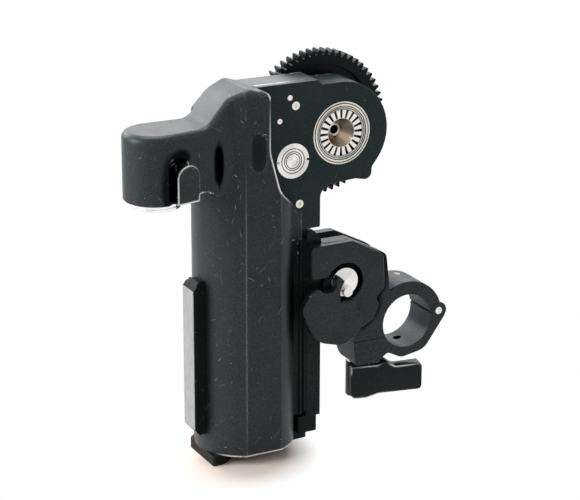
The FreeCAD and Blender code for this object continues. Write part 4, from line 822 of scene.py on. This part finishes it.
class FF_OT_lens_gear(bpy.types.Operator):
    """Lens gear and its spacer"""
    bl_idname = "followfocus.lens_gear"
    bl_label = "Lens gear"

    def execute(self, context):
        look = context.scene.followfocus_finish
        paint(anodised("anodised_gear", "#0c0d0e", look.bare_colour, specular=0.12,
                       grain=0.15, scratched=0.15, wear=0.35 * look.wear),
              "lens_gear", "lens_spacer")
        return {"FINISHED"}


class FF_OT_connector(bpy.types.Operator):
    """Connector shell, insert and contacts"""
    bl_idname = "followfocus.connector"
    bl_label = "Connector"

    def execute(self, context):
        shell = centre_of("connector_shell")
        paint(turned_steel("bright_chrome", "#fafafa", shell, "Z", 0.4, roughness=0.12,
                           fan=0.0), "connector_shell")
        paint(drawn_stock("insulator", "#1b1b1c", 1.1, metallic=0.0, roughness=0.45),
              "connector_insert")
        paint(drawn_stock("gold_plate", "#d9a94e", 1.1, roughness=0.2),
              "connector_contacts")
        return {"FINISHED"}


class FF_OT_bracket(bpy.types.Operator):
    """Rod bracket with its cam lever"""
    bl_idname = "followfocus.bracket"
    bl_label = "Bracket"

    def execute(self, context):
        look = context.scene.followfocus_finish
        # painted shade: the feet of the bracket's steps are darkened to black
        paint(anodised("anodised_bracket", look.bracket_colour, look.bare_colour,
                       grain=0.25, scratched=0.25, wear=0.25 * look.wear, step_shade=0.9),
              "bracket_body", "lower_jaw")
        paint(anodised("anodised_lever", look.bracket_colour, look.bare_colour,
                       grain=0.25, scratched=0.25, wear=0.5 * look.wear), "cam_lever")
        # the wing is turned by hand: darker, with its upper and lower edges bright, each
        # at its height in millimetres and so far up and down from it
        middle = centre_of("clamp_handle") / MM
        rims = [((middle.x, middle.y, height), (20.0, 12.0, reach))
                for height, reach in ((21.8, 2.6), (10.8, 3.2))]
        wing = wing_handle()
        wing.data.materials.append(
            anodised("anodised_wing", "#1b201f", look.bare_colour, roughness=0.26,
                     grain=0.15, scratched=0.1, wear=0.6 * look.wear, knocked=rims))
        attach(wing, "clamp")
        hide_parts("clamp_handle")
        cam = centre_of("cam_shaft")
        paint(turned_steel("cam_steel", "#f0eeea", cam, "Y", 0.4), "cam_shaft")
        paint(drawn_stock("pin_steel", "#f2f0eb", 1.4, roughness=0.22),
              "lever_screw", "lever_link", "hinge_pin", "clamp_screw", "clamp_washer")
        paint(drawn_stock("thread_sealant", "#b5b3a6", 1.1, metallic=0.0, roughness=0.5),
              "ring_plug")
        return {"FINISHED"}


STEPS = ("stage", "casing", "rails", "bearings", "train", "lens_gear", "connector",
         "bracket")


class FF_PT_panel(bpy.types.Panel):
    """The follow focus unit's pieces"""
    bl_label = "Follow Focus"
    bl_idname = "FF_PT_panel"
    bl_space_type = "VIEW_3D"
    bl_region_type = "UI"
    bl_category = "Follow Focus"

    def draw(self, context):
        look = context.scene.followfocus_finish
        for name in ("casing_colour", "cover_colour", "bracket_colour", "bare_colour",
                     "wear"):
            self.layout.prop(look, name)
        for step in STEPS:
            self.layout.operator("followfocus." + step)


CLASSES = (FollowFocusFinish, FollowFocusStage, FF_OT_stage, FF_OT_casing, FF_OT_rails,
           FF_OT_bearings, FF_OT_train, FF_OT_lens_gear, FF_OT_connector, FF_OT_bracket,
           FF_PT_panel)


def register():
    for entry in CLASSES:
        bpy.utils.register_class(entry)
    bpy.types.Scene.followfocus_finish = bpy.props.PointerProperty(type=FollowFocusFinish)
    bpy.types.Scene.followfocus_stage = bpy.props.PointerProperty(type=FollowFocusStage)


def unregister():
    del bpy.types.Scene.followfocus_finish
    del bpy.types.Scene.followfocus_stage
    for entry in reversed(CLASSES):
        bpy.utils.unregister_class(entry)


def main():
    """Runs every step."""
    register()
    for step in STEPS:
        getattr(bpy.ops.followfocus, step)()


if __name__ == "__main__":
    main()
